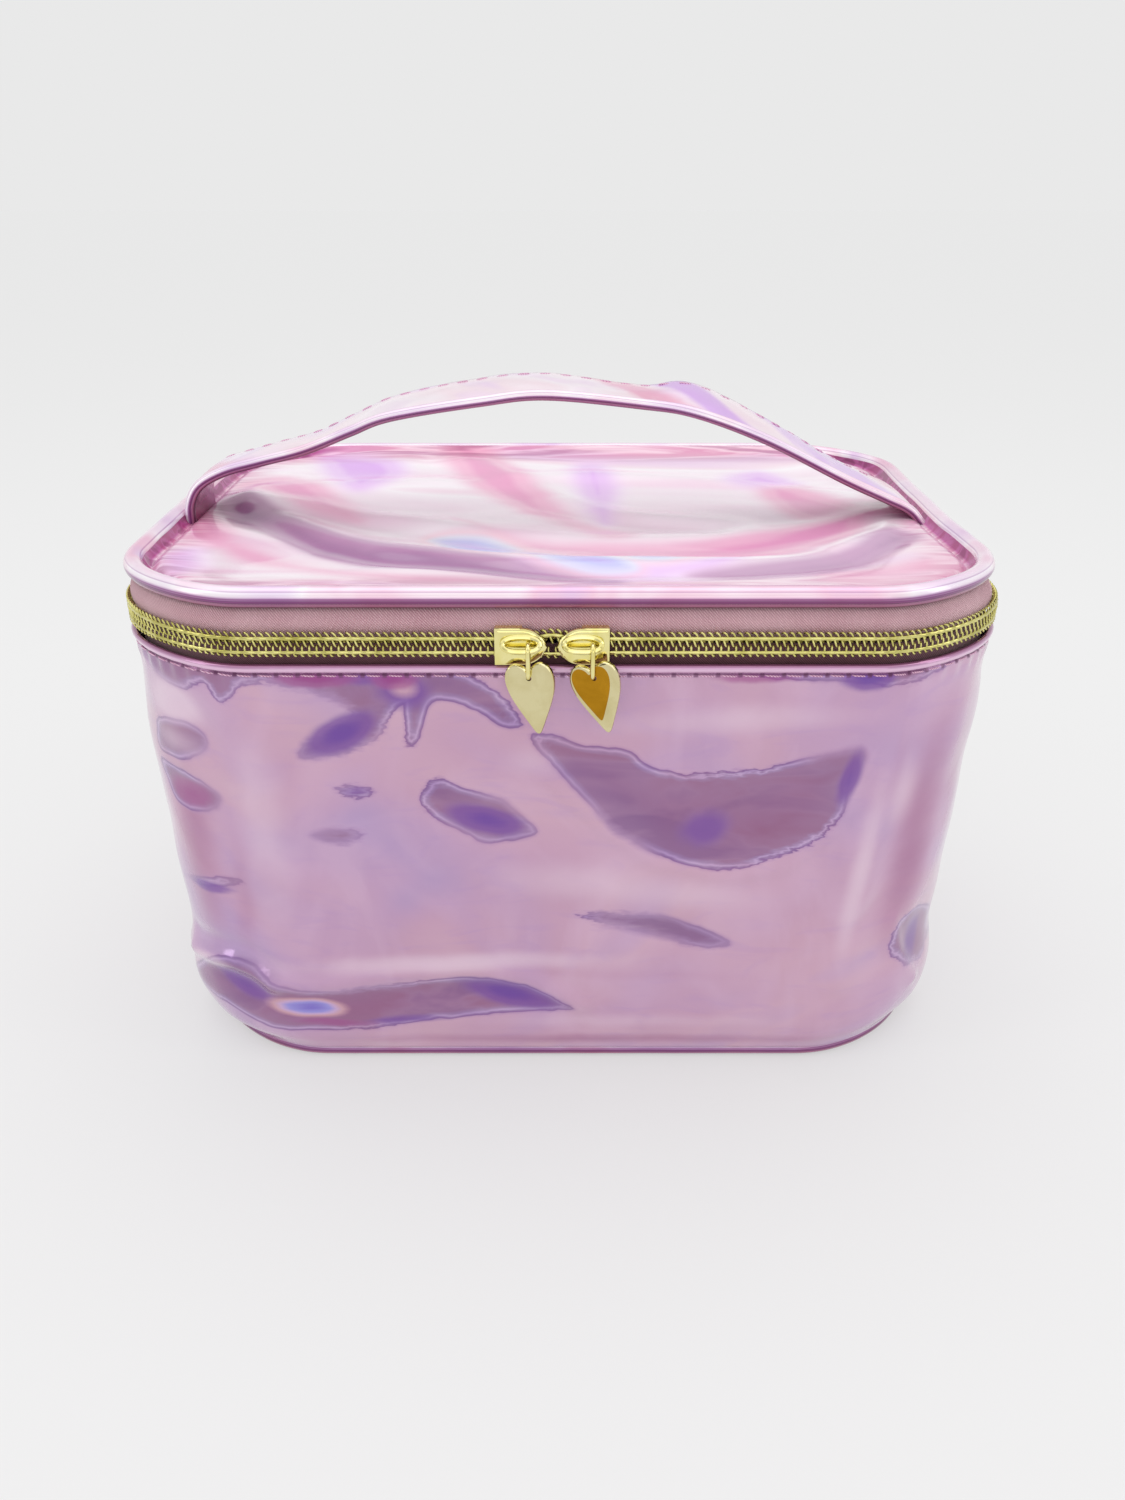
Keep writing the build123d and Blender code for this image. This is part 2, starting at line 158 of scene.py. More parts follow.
def make_floor():
    """Paper floor that glows a little, so that it keeps one tone out to the horizon."""
    half = 6.0
    mesh = bpy.data.meshes.new("floor")
    square = ((-half, -half), (half, -half), (half, half), (-half, half))
    corners = [(x, y, -FLOOR_DROP) for x, y in square]
    mesh.from_pydata(corners, [], [(0, 1, 2, 3)])
    floor = bpy.data.objects.new("floor", mesh)
    bpy.context.scene.collection.objects.link(floor)
    paper = bpy.data.materials.new("floor_paper")
    paper.use_nodes = True
    shader = paper.node_tree.nodes["Principled BSDF"]
    shader.inputs["Base Color"].default_value = (FLOOR_ALBEDO, FLOOR_ALBEDO, FLOOR_ALBEDO, 1.0)
    shader.inputs["Roughness"].default_value = 1.0
    shader.inputs["Specular IOR Level"].default_value = 0.0
    shader.inputs["Emission Color"].default_value = (1.0, 1.0, 1.0, 1.0)
    shader.inputs["Emission Strength"].default_value = FLOOR_GLOW
    mesh.materials.append(paper)


def make_studio():
    bpy.context.scene.view_settings.view_transform = "Standard"
    make_world()
    make_floor()
    area_light("overhead_softbox", (0.0, 0.15, 0.9), (0, 0, 0.1), (0.8, 0.5), 1.1)
    area_light("left_strip", (-0.8, -0.35, 0.5), (0, 0, 0.08), (0.25, 0.8), 0.9)
    area_light("right_strip", (0.8, -0.25, 0.5), (0, 0, 0.08), (0.25, 0.8), 0.9)
    area_light("front_fill", (0.1, -1.0, 0.35), (0, 0, 0.07), (0.8, 0.5), 0.9)


# ---------------------------------------------------------------- materials


def stop_colour(value, cover=1.0):
    """Colour of a ramp stop from a hex code, linear channels or a grey level, with its cover."""
    if isinstance(value, float):
        value = (value, value, value)
    return (srgb(value) if isinstance(value, str) else value) + (cover,)


class Shader:
    """A node material with short calls for the nodes that the looks here need."""

    def __init__(self, name):
        self.material = bpy.data.materials.new(name)
        self.material.use_nodes = True
        self.tree = self.material.node_tree
        self.bsdf = self.tree.nodes["Principled BSDF"]

    def node(self, kind, **settings):
        made = self.tree.nodes.new(kind)
        for key, value in settings.items():
            setattr(made, key, value)
        return made

    def feed(self, socket, value):
        """Link the value to the socket, or set it there if it is a number or a colour."""
        if isinstance(value, (int, float)):
            socket.default_value = value
        elif isinstance(value, tuple):
            socket.default_value = value + (1.0,)
        else:
            self.tree.links.new(value, socket)

    def set(self, **values):
        for key, value in values.items():
            self.feed(self.bsdf.inputs[key.replace("_", " ")], value)

    def place(self, *scale):
        """Object coordinates, stretched by the scale if there is one."""
        place = self.node("ShaderNodeTexCoord").outputs["Object"]
        if not scale:
            return place
        made = self.node("ShaderNodeMapping")
        self.feed(made.inputs["Vector"], place)
        made.inputs["Scale"].default_value = scale
        return made.outputs["Vector"]

    def attribute(self, name, output="Fac"):
        return self.node("ShaderNodeAttribute", attribute_name=name).outputs[output]

    def noise(self, scale, detail=2.0, distortion=0.0, vector=None):
        made = self.node("ShaderNodeTexNoise")
        self.feed(made.inputs["Vector"], vector or self.place())
        made.inputs["Scale"].default_value = scale
        made.inputs["Detail"].default_value = detail
        made.inputs["Distortion"].default_value = distortion
        return made.outputs["Fac"]

    def wave(self, direction, scale, vector, distortion=0.0):
        made = self.node("ShaderNodeTexWave", wave_type="BANDS", bands_direction=direction)
        self.feed(made.inputs["Vector"], vector)
        made.inputs["Scale"].default_value = scale
        made.inputs["Distortion"].default_value = distortion
        return made

    def math(self, operation, *values):
        made = self.node("ShaderNodeMath", operation=operation)
        for socket, value in zip(made.inputs, values):
            self.feed(socket, value)
        return made.outputs[0]

    def ramp(self, factor, stops, smooth=False):
        """Colour ramp of (position, hex code or grey level, cover) stops."""
        made = self.node("ShaderNodeValToRGB")
        ramp = made.color_ramp
        ramp.interpolation = "EASE" if smooth else "LINEAR"
        while len(ramp.elements) < len(stops):
            ramp.elements.new(0.5)
        for element, (position, *colour) in zip(ramp.elements, stops):
            element.position = position
            element.color = stop_colour(*colour)
        self.feed(made.inputs["Fac"], factor)
        return made

    def tone(self, factor, stops):
        return self.ramp(factor, stops).outputs["Color"]

    def step(self, factor, low, high):
        """Rises from 0 at low to 1 at high."""
        return self.tone(factor, ((low, 0.0), (high, 1.0)))

    def mix(self, factor, first, second, blend="MIX"):
        made = self.node("ShaderNodeMix", data_type="RGBA", blend_type=blend)
        for socket, value in zip((made.inputs[0], made.inputs[6], made.inputs[7]), (factor, first, second)):
            self.feed(socket, value)
        return made.outputs[2]

    def multiply(self, factor, first, second):
        return self.mix(factor, first, second, blend="MULTIPLY")

    def layer(self, under, level, stops, smooth=True):
        """Colour over 'under' from a ramp whose stops hold their own cover."""
        made = self.ramp(level, stops, smooth)
        return self.mix(made.outputs["Alpha"], under, made.outputs["Color"])

    def varied_roughness(self, noise, low, high):
        made = self.node("ShaderNodeMapRange")
        self.feed(made.inputs["Value"], noise)
        made.inputs["To Min"].default_value = low
        made.inputs["To Max"].default_value = high
        self.set(Roughness=made.outputs["Result"])

    def bump(self, height, strength, distance):
        """Bump over what the shader's normal already holds."""
        made = self.node("ShaderNodeBump")
        made.inputs["Strength"].default_value = strength
        made.inputs["Distance"].default_value = distance
        self.feed(made.inputs["Height"], height)
        normal = self.bsdf.inputs["Normal"]
        if normal.is_linked:
            self.feed(made.inputs["Normal"], normal.links[0].from_socket)
        self.set(Normal=made.outputs["Normal"])


REFLECTION_STOPS = (
    (0.455, "#B893C0", 0.0), (0.490, "#AE84B6", 0.35), (0.502, "#7F4F95", 0.85), (0.522, "#9A78A8", 0.9),
    (0.545, "#C4A6CF", 0.9), (0.575, "#A080AC", 0.9), (0.620, "#9C7098", 0.95), (1.000, "#9A6A93", 1.0),
)
SOFT_REFLECTION_STOPS = (
    (0.43, "#B893C0", 0.0), (0.52, "#9C76A8", 0.6), (0.62, "#99709A", 0.9), (1.00, "#936692", 1.0),
)
REFLECTION_CORE_STOPS = ((0.22, "#8A63A8", 0.0), (0.62, "#7A49A0", 0.8), (1.0, "#6B3C9E", 0.95))
MAGENTA_REFLECTION_STOPS = ((0.25, "#A85C98", 0.0), (0.65, "#A24C8E", 0.7), (1.0, "#9A3A86", 0.9))
REFLECTION_FLASH_STOPS = (
    (0.20, "#D9A5B4", 0.0), (0.38, "#E6B7BC", 0.60), (0.52, "#D3B4DC", 0.80), (0.66, "#9C98E2", 0.88),
    (0.90, "#7F70CC", 0.95),
)
# By height over the hem's top: painted shade in the seam, then the pale rolled rim above it with painted
# highlight lines
HEM_RIM_HIGHLIGHT_SHADE_STOPS = (
    (0.9790, "#7A3A6E", 0.0), (0.9800, "#7A3A6E", 0.80), (0.9822, "#6E2C62", 0.90), (0.9834, "#B884AC"),
    (0.9870, "#DDB2D2"), (0.9930, "#E4BEDA"), (0.9965, "#B27FA6"), (0.9985, "#E8CBE0"), (1.0000, "#A4648C"),
)
HEM_COUNT = 134
HEM_STITCH_Z = 119.25


def hem_highlight_and_shade(s, colour):
    """Pale rolled rim with painted highlight lines, painted shade in the thin seam under it, and a dark
    painted-shade dip at each stitch hole.
    """
    height = s.attribute("height")
    colour = s.layer(colour, height, HEM_RIM_HIGHLIGHT_SHADE_STOPS, smooth=False)
    split = s.node("ShaderNodeSeparateXYZ")
    s.feed(split.inputs["Vector"], s.attribute("rim", "Vector"))
    turns = 2 * math.pi * HEM_COUNT / (RIM.total * MM)
    # Painted shade dips at the stitch holes along the seam
    hole = s.step(s.math("COSINE", s.math("MULTIPLY", split.outputs["X"], turns)), 0.62, 0.92)
    near_seam = s.tone(height, ((0.9725, 0.0), (0.9765, 1.0), (0.9830, 1.0), (0.9850, 0.0)))
    cover = s.math("MULTIPLY", s.math("MULTIPLY", hole, near_seam), 0.85)
    return s.mix(cover, colour, srgb("#5E1F52"))


def wall_ground(s, soft):
    """Pink to lilac ground with a pale veil and lilac wisps, and painted highlight columns and painted
    shade columns.
    """
    drift = s.noise(13.0, 2.0, 0.9, s.place(1.0, 1.0, 1.3))
    stops = ((0.28, "#B498C4"), (0.40, "#C39DC0"), (0.50, "#C99FBA"), (0.60, "#CFA6BC"), (0.72, "#BC9CC6"))
    ground = s.tone(drift, stops)
    veil = s.step(s.noise(30.0, 3.0, 1.6, s.place(1.0, 1.0, 0.5)), 0.46, 0.66)
    ground = s.mix(s.math("MULTIPLY", veil, 0.35), ground, srgb("#D9B6D2"))
    wisp = s.step(s.noise(70.0, 3.0, 2.2, s.place(0.5, 0.5, 1.6)), 0.54, 0.70)
    ground = s.mix(s.math("MULTIPLY", wisp, 0.16), ground, srgb("#A987C4"))
    half = s.math("MULTIPLY", soft, 0.5)
    pale = s.math("ADD", s.attribute("pale"), half)
    pale = s.ramp(pale, ((0.20, "#DDBDD2", 0.0), (0.9, "#E6CCDD", 0.85)), smooth=True)
    ground = s.mix(s.math("MULTIPLY", pale.outputs["Alpha"], 0.75), ground, pale.outputs["Color"])
    shade = s.math("ADD", s.attribute("shade"), half)
    return s.layer(ground, shade, ((0.20, "#BC86A6", 0.0), (0.9, "#A96E96", 0.9))), pale


def wall_painted_reflections(s, ground):
    """Painted mauve reflections over the ground: crisp fringed outlines in places, blurred in others."""
    ragged_where = s.step(s.noise(28.0, 1.0), 0.45, 0.62)
    streaks = s.math("SUBTRACT", s.noise(900.0, 2.0, 0.0, s.place(0.35, 0.35, 1.0)), 0.5)
    streaks = s.math("MULTIPLY", streaks, s.math("MULTIPLY", ragged_where, 0.16))
    wander = s.math("MULTIPLY", s.math("SUBTRACT", s.noise(110.0, 2.0, 0.6), 0.5), 0.11)
    patch = s.math("ADD", s.math("ADD", s.attribute("patch"), streaks), wander)
    crisp = s.ramp(patch, REFLECTION_STOPS)
    blurred = s.ramp(patch, SOFT_REFLECTION_STOPS)
    blur_where = s.step(s.noise(22.0, 1.0), 0.50, 0.62)
    inside = s.mix(blur_where, crisp.outputs["Color"], blurred.outputs["Color"])
    crisp_part = s.math("MULTIPLY", crisp.outputs["Alpha"], s.math("SUBTRACT", 1.0, blur_where))
    mask = s.math("ADD", crisp_part, s.math("MULTIPLY", blurred.outputs["Alpha"], blur_where))
    cloud = s.noise(48.0, 3.0, 1.0, s.place(0.6, 0.6, 1.4))
    cloud = s.tone(cloud, ((0.35, "#D9C8EA"), (0.5, 1.0), (0.65, "#F3D9E0")))
    return s.mix(mask, ground, s.multiply(0.75, inside, cloud))


def film_wall_material():
    """Iridescent film: pink to lilac ground, painted mauve reflections with fringed outlines and violet
    cores, painted highlights and shade, and the hem's painted highlight and shade.
    """
    s = Shader("film_wall")
    soft = s.math("MULTIPLY_ADD", s.noise(60.0, 2.0, 0.8), 0.5, -0.25)
    ground, pale = wall_ground(s, soft)
    colour = wall_painted_reflections(s, ground)
    wide = s.math("MULTIPLY", soft, 0.6)
    # Painted reflection: violet cores
    core = s.math("ADD", s.attribute("core"), wide)
    colour = s.layer(colour, core, REFLECTION_CORE_STOPS)
    # Painted reflection: bright flashes
    flash = s.math("ADD", s.attribute("flash"), s.math("MULTIPLY", soft, 0.3))
    colour = s.layer(colour, flash, REFLECTION_FLASH_STOPS, smooth=False)
    # Painted highlights again, over the reflections
    colour = s.mix(s.math("MULTIPLY", pale.outputs["Alpha"], 0.5), colour, pale.outputs["Color"])
    # Painted reflection: deep magenta tints
    magenta = s.math("ADD", s.attribute("magenta"), wide)
    colour = s.layer(colour, magenta, MAGENTA_REFLECTION_STOPS)
    # Painted shade along the wall's lowest 3.7 mm, where it meets the base roll
    foot_shade = s.tone(s.attribute("height"), ((0.0, (0.62, 0.45, 0.58)), (0.03, 1.0), (1.0, 1.0)))
    colour = s.multiply(1.0, colour, foot_shade)
    s.set(Base_Color=hem_highlight_and_shade(s, colour), Metallic=0.45, Coat_Weight=0.6, Coat_Roughness=0.05, IOR=1.5)
    s.varied_roughness(s.noise(140.0, 3.0), 0.10, 0.24)
    s.bump(s.noise(700.0, 2.0), 0.06, 0.0002)
    s.bump(s.noise(45.0, 3.0, 0.5), 0.25, 0.0015)
    return s.material


# Near white painted highlight of the lid, with pink and lilac drifts
LID_HIGHLIGHT_GROUND = (
    (0.30, "#EBC6DC"), (0.42, "#F1E2EC"), (0.52, "#F5EFF4"), (0.60, "#F0DAE6"), (0.68, "#E8CAE8"),
    (0.78, "#F2E9F0"),
)
# Pink and lilac painted reflections and mauve painted shade along the folds: painted attribute, level where
# the band starts and is full, colours from its edge inwards
LID_REFLECTION_AND_SHADE_BANDS = (
    ("pink", 0.22, 0.78, "#F0CBDD", "#EBAECB", "#E49CC2"),
    ("lilac", 0.20, 0.78, "#F2DAF6", "#E4BCF0", "#DAA6EC"),
    ("mauve", 0.28, 0.66, "#E0B2D4", "#B98CB2", "#A47AA2"),
)
# Painted rainbow reflection: peach, pale blue, blue and violet
RAINBOW_REFLECTION_STOPS = (
    (0.22, "#F3D2D8", 0.0), (0.38, "#F1CBD6", 0.45), (0.50, "#D5DFF0", 0.65), (0.64, "#B4BFF2", 0.75),
    (0.90, "#BF9CEC", 0.90),
)


def film_lid_material():
    """The same film on the lid, glossy: a near white painted highlight swept by painted pink, lilac and
    rainbow reflections, with painted mauve shade along the folds and painted shade in the side creases.
    """
    s = Shader("film_lid")
    stretched = s.place(0.40, 1.0, 1.0)
    colour = s.tone(s.noise(18.0, 2.0, 1.6, stretched), LID_HIGHLIGHT_GROUND)
    wobble = s.math("MULTIPLY_ADD", s.noise(60.0, 2.0, 1.0, stretched), 0.22, -0.11)
    for name, start, full, outer, middle, inner in LID_REFLECTION_AND_SHADE_BANDS:
        level = s.math("ADD", s.attribute(name), wobble)
        colour = s.layer(colour, level, ((start, outer, 0.0), (full, middle, 0.88), (1.0, inner, 0.96)))
    rainbow = s.math("ADD", s.attribute("rainbow"), s.math("MULTIPLY", wobble, 0.5))
    colour = s.layer(colour, rainbow, RAINBOW_REFLECTION_STOPS, smooth=False)
    streaks = s.noise(160.0, 3.0, 0.8, s.place(0.12, 1.0, 1.0))
    streaks = s.tone(streaks, ((0.40, "#E3A0C0"), (0.50, "#FBE4EC"), (0.60, "#CB93B2")))
    colour = s.multiply(s.math("MULTIPLY", s.attribute("front"), 0.95), colour, streaks)
    # Painted shade in the creases beside the piping at the lid's left and right
    crease = s.tone(s.attribute("crease"), ((0.2, 1.0), (0.7, "#D27FC0"), (1.0, "#A0508C")))
    colour = s.multiply(1.0, colour, crease)
    s.set(Base_Color=colour, Metallic=0.0, Coat_Weight=0.3, Coat_Roughness=0.08, IOR=1.45)
    s.varied_roughness(s.noise(120.0, 3.0), 0.12, 0.24)
    s.bump(s.noise(600.0, 2.0), 0.06, 0.0002)
    s.bump(s.noise(45.0, 2.0, 0.8, stretched), 0.12, 0.001)
    return s.material


# Painted shade on the cord's underside, 0, up to a painted highlight on its top, 1, with fine dark lines on
# the lower half
PIPING_HIGHLIGHT_SHADE_STOPS = (
    (0.00, "#6E3558"), (0.08, "#5C2244"), (0.14, "#A0627E"), (0.27, "#A3618C"), (0.33, "#5E1C52"),
    (0.38, "#8A3A7C"), (0.43, "#6C2566"), (0.48, "#A4709E"), (0.53, "#8A4884"), (0.58, "#C9A6C8"),
    (0.65, "#F3E8F0"), (0.80, "#FBF7FA"), (0.835, "#CDB0CE"), (0.88, "#F3E6F0"), (1.00, "#F0D8E8"),
)


def film_piping_material():
    """Rolled film: a white and pale pink painted highlight on top, mauve painted shade with fine dark lines
    on its lower half.
    """
    s = Shader("film_piping")
    around = s.tone(s.attribute("around"), PIPING_HIGHLIGHT_SHADE_STOPS)
    tint_stops = ((0.3, "#E6D2F0"), (0.5, 1.0), (0.64, "#F7D3E2"), (0.8, "#D7C6F2"))
    tint = s.tone(s.noise(30.0, 2.0, 0.6), tint_stops)
    s.set(Base_Color=s.multiply(1.0, around, tint), Metallic=0.2, Coat_Weight=0.7, Coat_Roughness=0.06)
    s.varied_roughness(s.noise(160.0, 2.0), 0.16, 0.30)
    s.bump(s.noise(240.0, 2.0), 0.15, 0.0003)
    return s.material


def film_strap_material():
    """Film of the strap: a pale painted highlight with painted lilac and pink reflections along its length,
    and painted shade where its 'around' share is low.
    """
    s = Shader("film_strap")
    drift = s.noise(30.0, 2.0, 1.0, s.place(0.6, 1.0, 1.0))
    stops = ((0.28, "#E9C6EA"), (0.42, "#F4E8F0"), (0.52, "#F3DCE6"), (0.62, "#E7C9EE"), (0.74, "#F8F3F6"))
    colour = s.tone(drift, stops)
    wobble = s.math("MULTIPLY_ADD", s.noise(70.0, 3.0, 1.2), 0.7, -0.35)
    for name, light, deep in (("lilac", "#E6BEEC", "#CF9BE6"), ("pink", "#F0B4CC", "#E58FB4")):
        level = s.math("ADD", s.attribute(name), wobble)
        colour = s.layer(colour, level, ((0.2, light, 0.0), (0.8, deep, 0.85)))
    shade = s.tone(s.attribute("around"), ((0.0, "#A9588F"), (0.35, "#D79CC4"), (0.6, 1.0), (1.0, 1.0)))
    s.set(Base_Color=s.multiply(1.0, colour, shade), Metallic=0.2, Coat_Weight=0.6, Coat_Roughness=0.06)
    s.varied_roughness(s.noise(150.0, 2.0), 0.12, 0.26)
    s.bump(s.noise(150.0, 3.0), 0.2, 0.0005)
    return s.material


def woven_material(name, low, high, scale, depth=0.00022, shade=None):
    """Woven cloth whose threads follow the rim: 'rim' holds length along the rim and height."""
    s = Shader(name)
    rim = s.attribute("rim", "Vector")
    twill = s.wave("DIAGONAL", scale, rim, 0.6)
    twill.inputs["Detail"].default_value = 1.0
    cross = s.wave("X", scale * 1.3, rim)
    weave = s.math("MULTIPLY", twill.outputs["Fac"], cross.outputs["Fac"])
    tone = s.math("MULTIPLY_ADD", s.noise(60.0, 3.0), 0.4, s.math("MULTIPLY", weave, 0.9))
    cloth = s.tone(tone, ((0.15, low), (0.75, high)))
    if shade:
        cloth = s.multiply(1.0, cloth, s.tone(s.attribute("around"), shade))
    s.set(Base_Color=cloth, Sheen_Weight=0.3, Specular_IOR_Level=0.3)
    s.varied_roughness(s.noise(300.0, 2.0), 0.62, 0.82)
    s.bump(weave, 0.8, depth)
    return s.material


def gold_material(name, light, deep, rough, metallic=1.0):
    """Plated metal with faint smudges and fine polishing marks."""
    s = Shader(name)
    smudge = s.tone(s.noise(180.0, 4.0, 0.5), ((0.25, deep), (0.6, light)))
    s.set(Base_Color=smudge, Metallic=metallic)
    s.varied_roughness(s.noise(420.0, 3.0), *rough)
    s.bump(s.noise(900.0, 2.0, 0.0, s.place(1.0, 1.0, 0.15)), 0.04, 0.0002)
    return s.material


def thread_material():
    """Sewing thread, twisted."""
    s = Shader("thread")
    twist = s.wave("DIAGONAL", 900.0, s.place()).outputs["Fac"]
    s.set(Base_Color=s.tone(twist, ((0.2, "#B5799C"), (0.8, "#EBC3DA"))))
    s.varied_roughness(s.noise(500.0), 0.5, 0.7)
    s.bump(twist, 0.5, 0.0001)
    return s.material


def plain_material(name, low, high, rough):
    """Foam and board: a fine speckle and a pitted surface."""
    s = Shader(name)
    s.set(Base_Color=s.tone(s.noise(90.0, 4.0), ((0.3, low), (0.7, high))))
    s.varied_roughness(s.noise(180.0), *rough)
    s.bump(s.noise(720.0, 2.0), 0.3, 0.0003)
    return s.material


# ---------------------------------------------------------------- meshes


def make_object(name, points, faces, material, smooth_angle=38.0, **attributes):
    """Mesh object from points in millimetres, with optional per-point attributes."""
    mesh = bpy.data.meshes.new(name)
    mesh.from_pydata((settle(np.asarray(points, float)) * MM).tolist(), [], faces)
    mesh.validate()
    mesh.polygons.foreach_set("use_smooth", [True] * len(mesh.polygons))
    if smooth_angle < 180:
        mesh.set_sharp_from_angle(angle=math.radians(smooth_angle))
    for key, values in attributes.items():
        values = np.asarray(values, np.float32)
        if values.ndim == 1:
            layer = mesh.attributes.new(key, "FLOAT", "POINT")
            layer.data.foreach_set("value", values)
        else:
            layer = mesh.attributes.new(key, "FLOAT_VECTOR", "POINT")
            layer.data.foreach_set("vector", values.ravel())
    mesh.materials.append(material)
    made = bpy.data.objects.new(name, mesh)
    bpy.context.scene.collection.objects.link(made)
    return made


def finish_piece(made, body, slot, *nodes):
    """The piece rides on its body and stands for its CAD nodes, which it hides; the slot is not used."""
    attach(made, body)
    if nodes:
        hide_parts(*nodes)
    return made


def grid_faces(rows, columns, wrap_columns, wrap_rows, start=0):
    """Quads of a grid of points, row after row."""
    faces = []
    row_count = rows if wrap_rows else rows - 1
    column_count = columns if wrap_columns else columns - 1
    for i in range(row_count):
        low = start + i * columns
        high = start + ((i + 1) % rows) * columns
        for j in range(column_count):
            k = (j + 1) % columns
            faces.append((low + j, low + k, high + k, high + j))
    return faces


def end_caps(rows, columns):
    """Faces that close both ends of rows of points, of which the first follows the last."""
    return [tuple(range(0, rows * columns, columns)), tuple(range(rows * columns - 1, -1, -columns))]


def flipped(faces):
    return [tuple(reversed(face)) for face in faces]


def sheet_faces(rows, columns):
    """Faces of two matched grids of points, front then rear, joined round their edges."""
    count = rows * columns
    front = grid_faces(rows, columns, False, False)
    faces = front + [tuple(i + count for i in face) for face in flipped(front)]
    edge = list(range(columns))
    edge += [r * columns + columns - 1 for r in range(1, rows)]
    edge += [(rows - 1) * columns + c for c in range(columns - 2, -1, -1)]
    edge += [r * columns for r in range(rows - 2, 0, -1)]
    return faces + [(b, a, a + count, b + count) for a, b in zip(edge, edge[1:] + edge[:1])]


class Rim:
    """Points round a rounded rectangle, anticlockwise from the front's middle."""

    def __init__(self, step=1.7):
        half_w, half_d = CASE_W / 2 - CORNER_R, CASE_D / 2 - CORNER_R
        front = max(2, round(half_w / step))
        side = max(2, round(2 * half_d / step))
        arc = max(3, round(math.pi / 2 * CORNER_R / step))
        straight = {0: front, 2: side, 4: 2 * front, 6: side, 8: front}
        counts = [straight.get(run, arc) for run in range(9)]
        runs = [(run, k / count) for run, count in enumerate(counts) for k in range(count)]
        self.runs = runs
        self.count = len(runs)
        self.x0, self.y0, _, _ = self.points(CASE_W, CASE_D, CORNER_R)
        steps = np.hypot(np.diff(self.x0, append=self.x0[0]), np.diff(self.y0, append=self.y0[0]))
        length = np.concatenate(([0.0], np.cumsum(steps)[:-1]))
        self.total = steps.sum()
        self.s = np.where(length > self.total / 2, length - self.total, length)
        self.length = length

    def points(self, width, depth, radius):
        half_w, half_d = width / 2 - radius, depth / 2 - radius
        corners = {
            1: (half_w, -half_d, -90), 3: (half_w, half_d, 0),
            5: (-half_w, half_d, 90), 7: (-half_w, -half_d, 180),
        }
        out = []
        for run, t in self.runs:
            if run in corners:
                cx, cy, first = corners[run]
                angle = math.radians(first + 90 * t)
                nx, ny = math.cos(angle), math.sin(angle)
                out.append((cx + radius * nx, cy + radius * ny, nx, ny))
            elif run == 0:
                out.append((half_w * t, -depth / 2, 0, -1))
            elif run == 2:
                out.append((width / 2, -half_d + 2 * half_d * t, 1, 0))
            elif run == 4:
                out.append((half_w - 2 * half_w * t, depth / 2, 0, 1))
            elif run == 6:
                out.append((-width / 2, half_d - 2 * half_d * t, -1, 0))
            else:
                out.append((-half_w + half_w * t, -depth / 2, 0, -1))
        return (np.array(column) for column in zip(*out))


RIM = Rim()
WALL_RIM = Rim(1.15)
FINE_RIM = Rim(0.9)


def wall_size(z):
    """Width, depth and corner radius of the wall at height z, rounded off between stations."""
    offsets = np.linspace(-5, 5, 11)
    weights = np.exp(-((offsets / 3.2) ** 2))
    weights /= weights.sum()
    return [
        float(np.interp(np.clip(z + offsets, WALL_FOOT, WALL_TOP), WALL[:, 0], WALL[:, k]) @ weights)
        for k in (1, 2, 3)
    ]


def blob(s, z, spots, power=6.0):
    """Smooth union of tilted oval spots: 1 at a spot's centre, 0.5 at its edge."""
    wrap = RIM.total
    total = np.zeros_like(s)
    for cs, cz, rs, rz, turn, weight in spots:
        a = math.radians(turn)
        ds = (s - cs + wrap / 2) % wrap - wrap / 2
        u = ds * math.cos(a) + (z - cz) * math.sin(a)
        v = -ds * math.sin(a) + (z - cz) * math.cos(a)
        value = weight * np.exp(-0.693 * ((u / rs) ** 2 + (v / rz) ** 2))
        total += value**power
    return total ** (1 / power)


def ridge(s, z, line, width):
    """Bell-shaped ridge along a line of points."""
    best = np.full_like(s, 1e9)
    for (s0, z0), (s1, z1) in zip(line, line[1:]):
        ds, dz = s1 - s0, z1 - z0
        t = np.clip(((s - s0) * ds + (z - z0) * dz) / (ds * ds + dz * dz), 0, 1)
        best = np.minimum(best, np.hypot(s - s0 - t * ds, z - z0 - t * dz))
    return np.exp(-((best / width) ** 2))


def smooth_noise(x, y, z):
    """Perlin noise of three arrays."""
    flat = zip(np.ravel(x), np.ravel(y), np.ravel(z))
    values = [noise.noise(Vector(p)) for p in flat]
    return np.array(values).reshape(np.shape(x))


def fade(value, low, high):
    """0 below low, 1 above high, smooth between."""
    t = np.clip((value - low) / (high - low), 0, 1)
    return t * t * (3 - 2 * t)


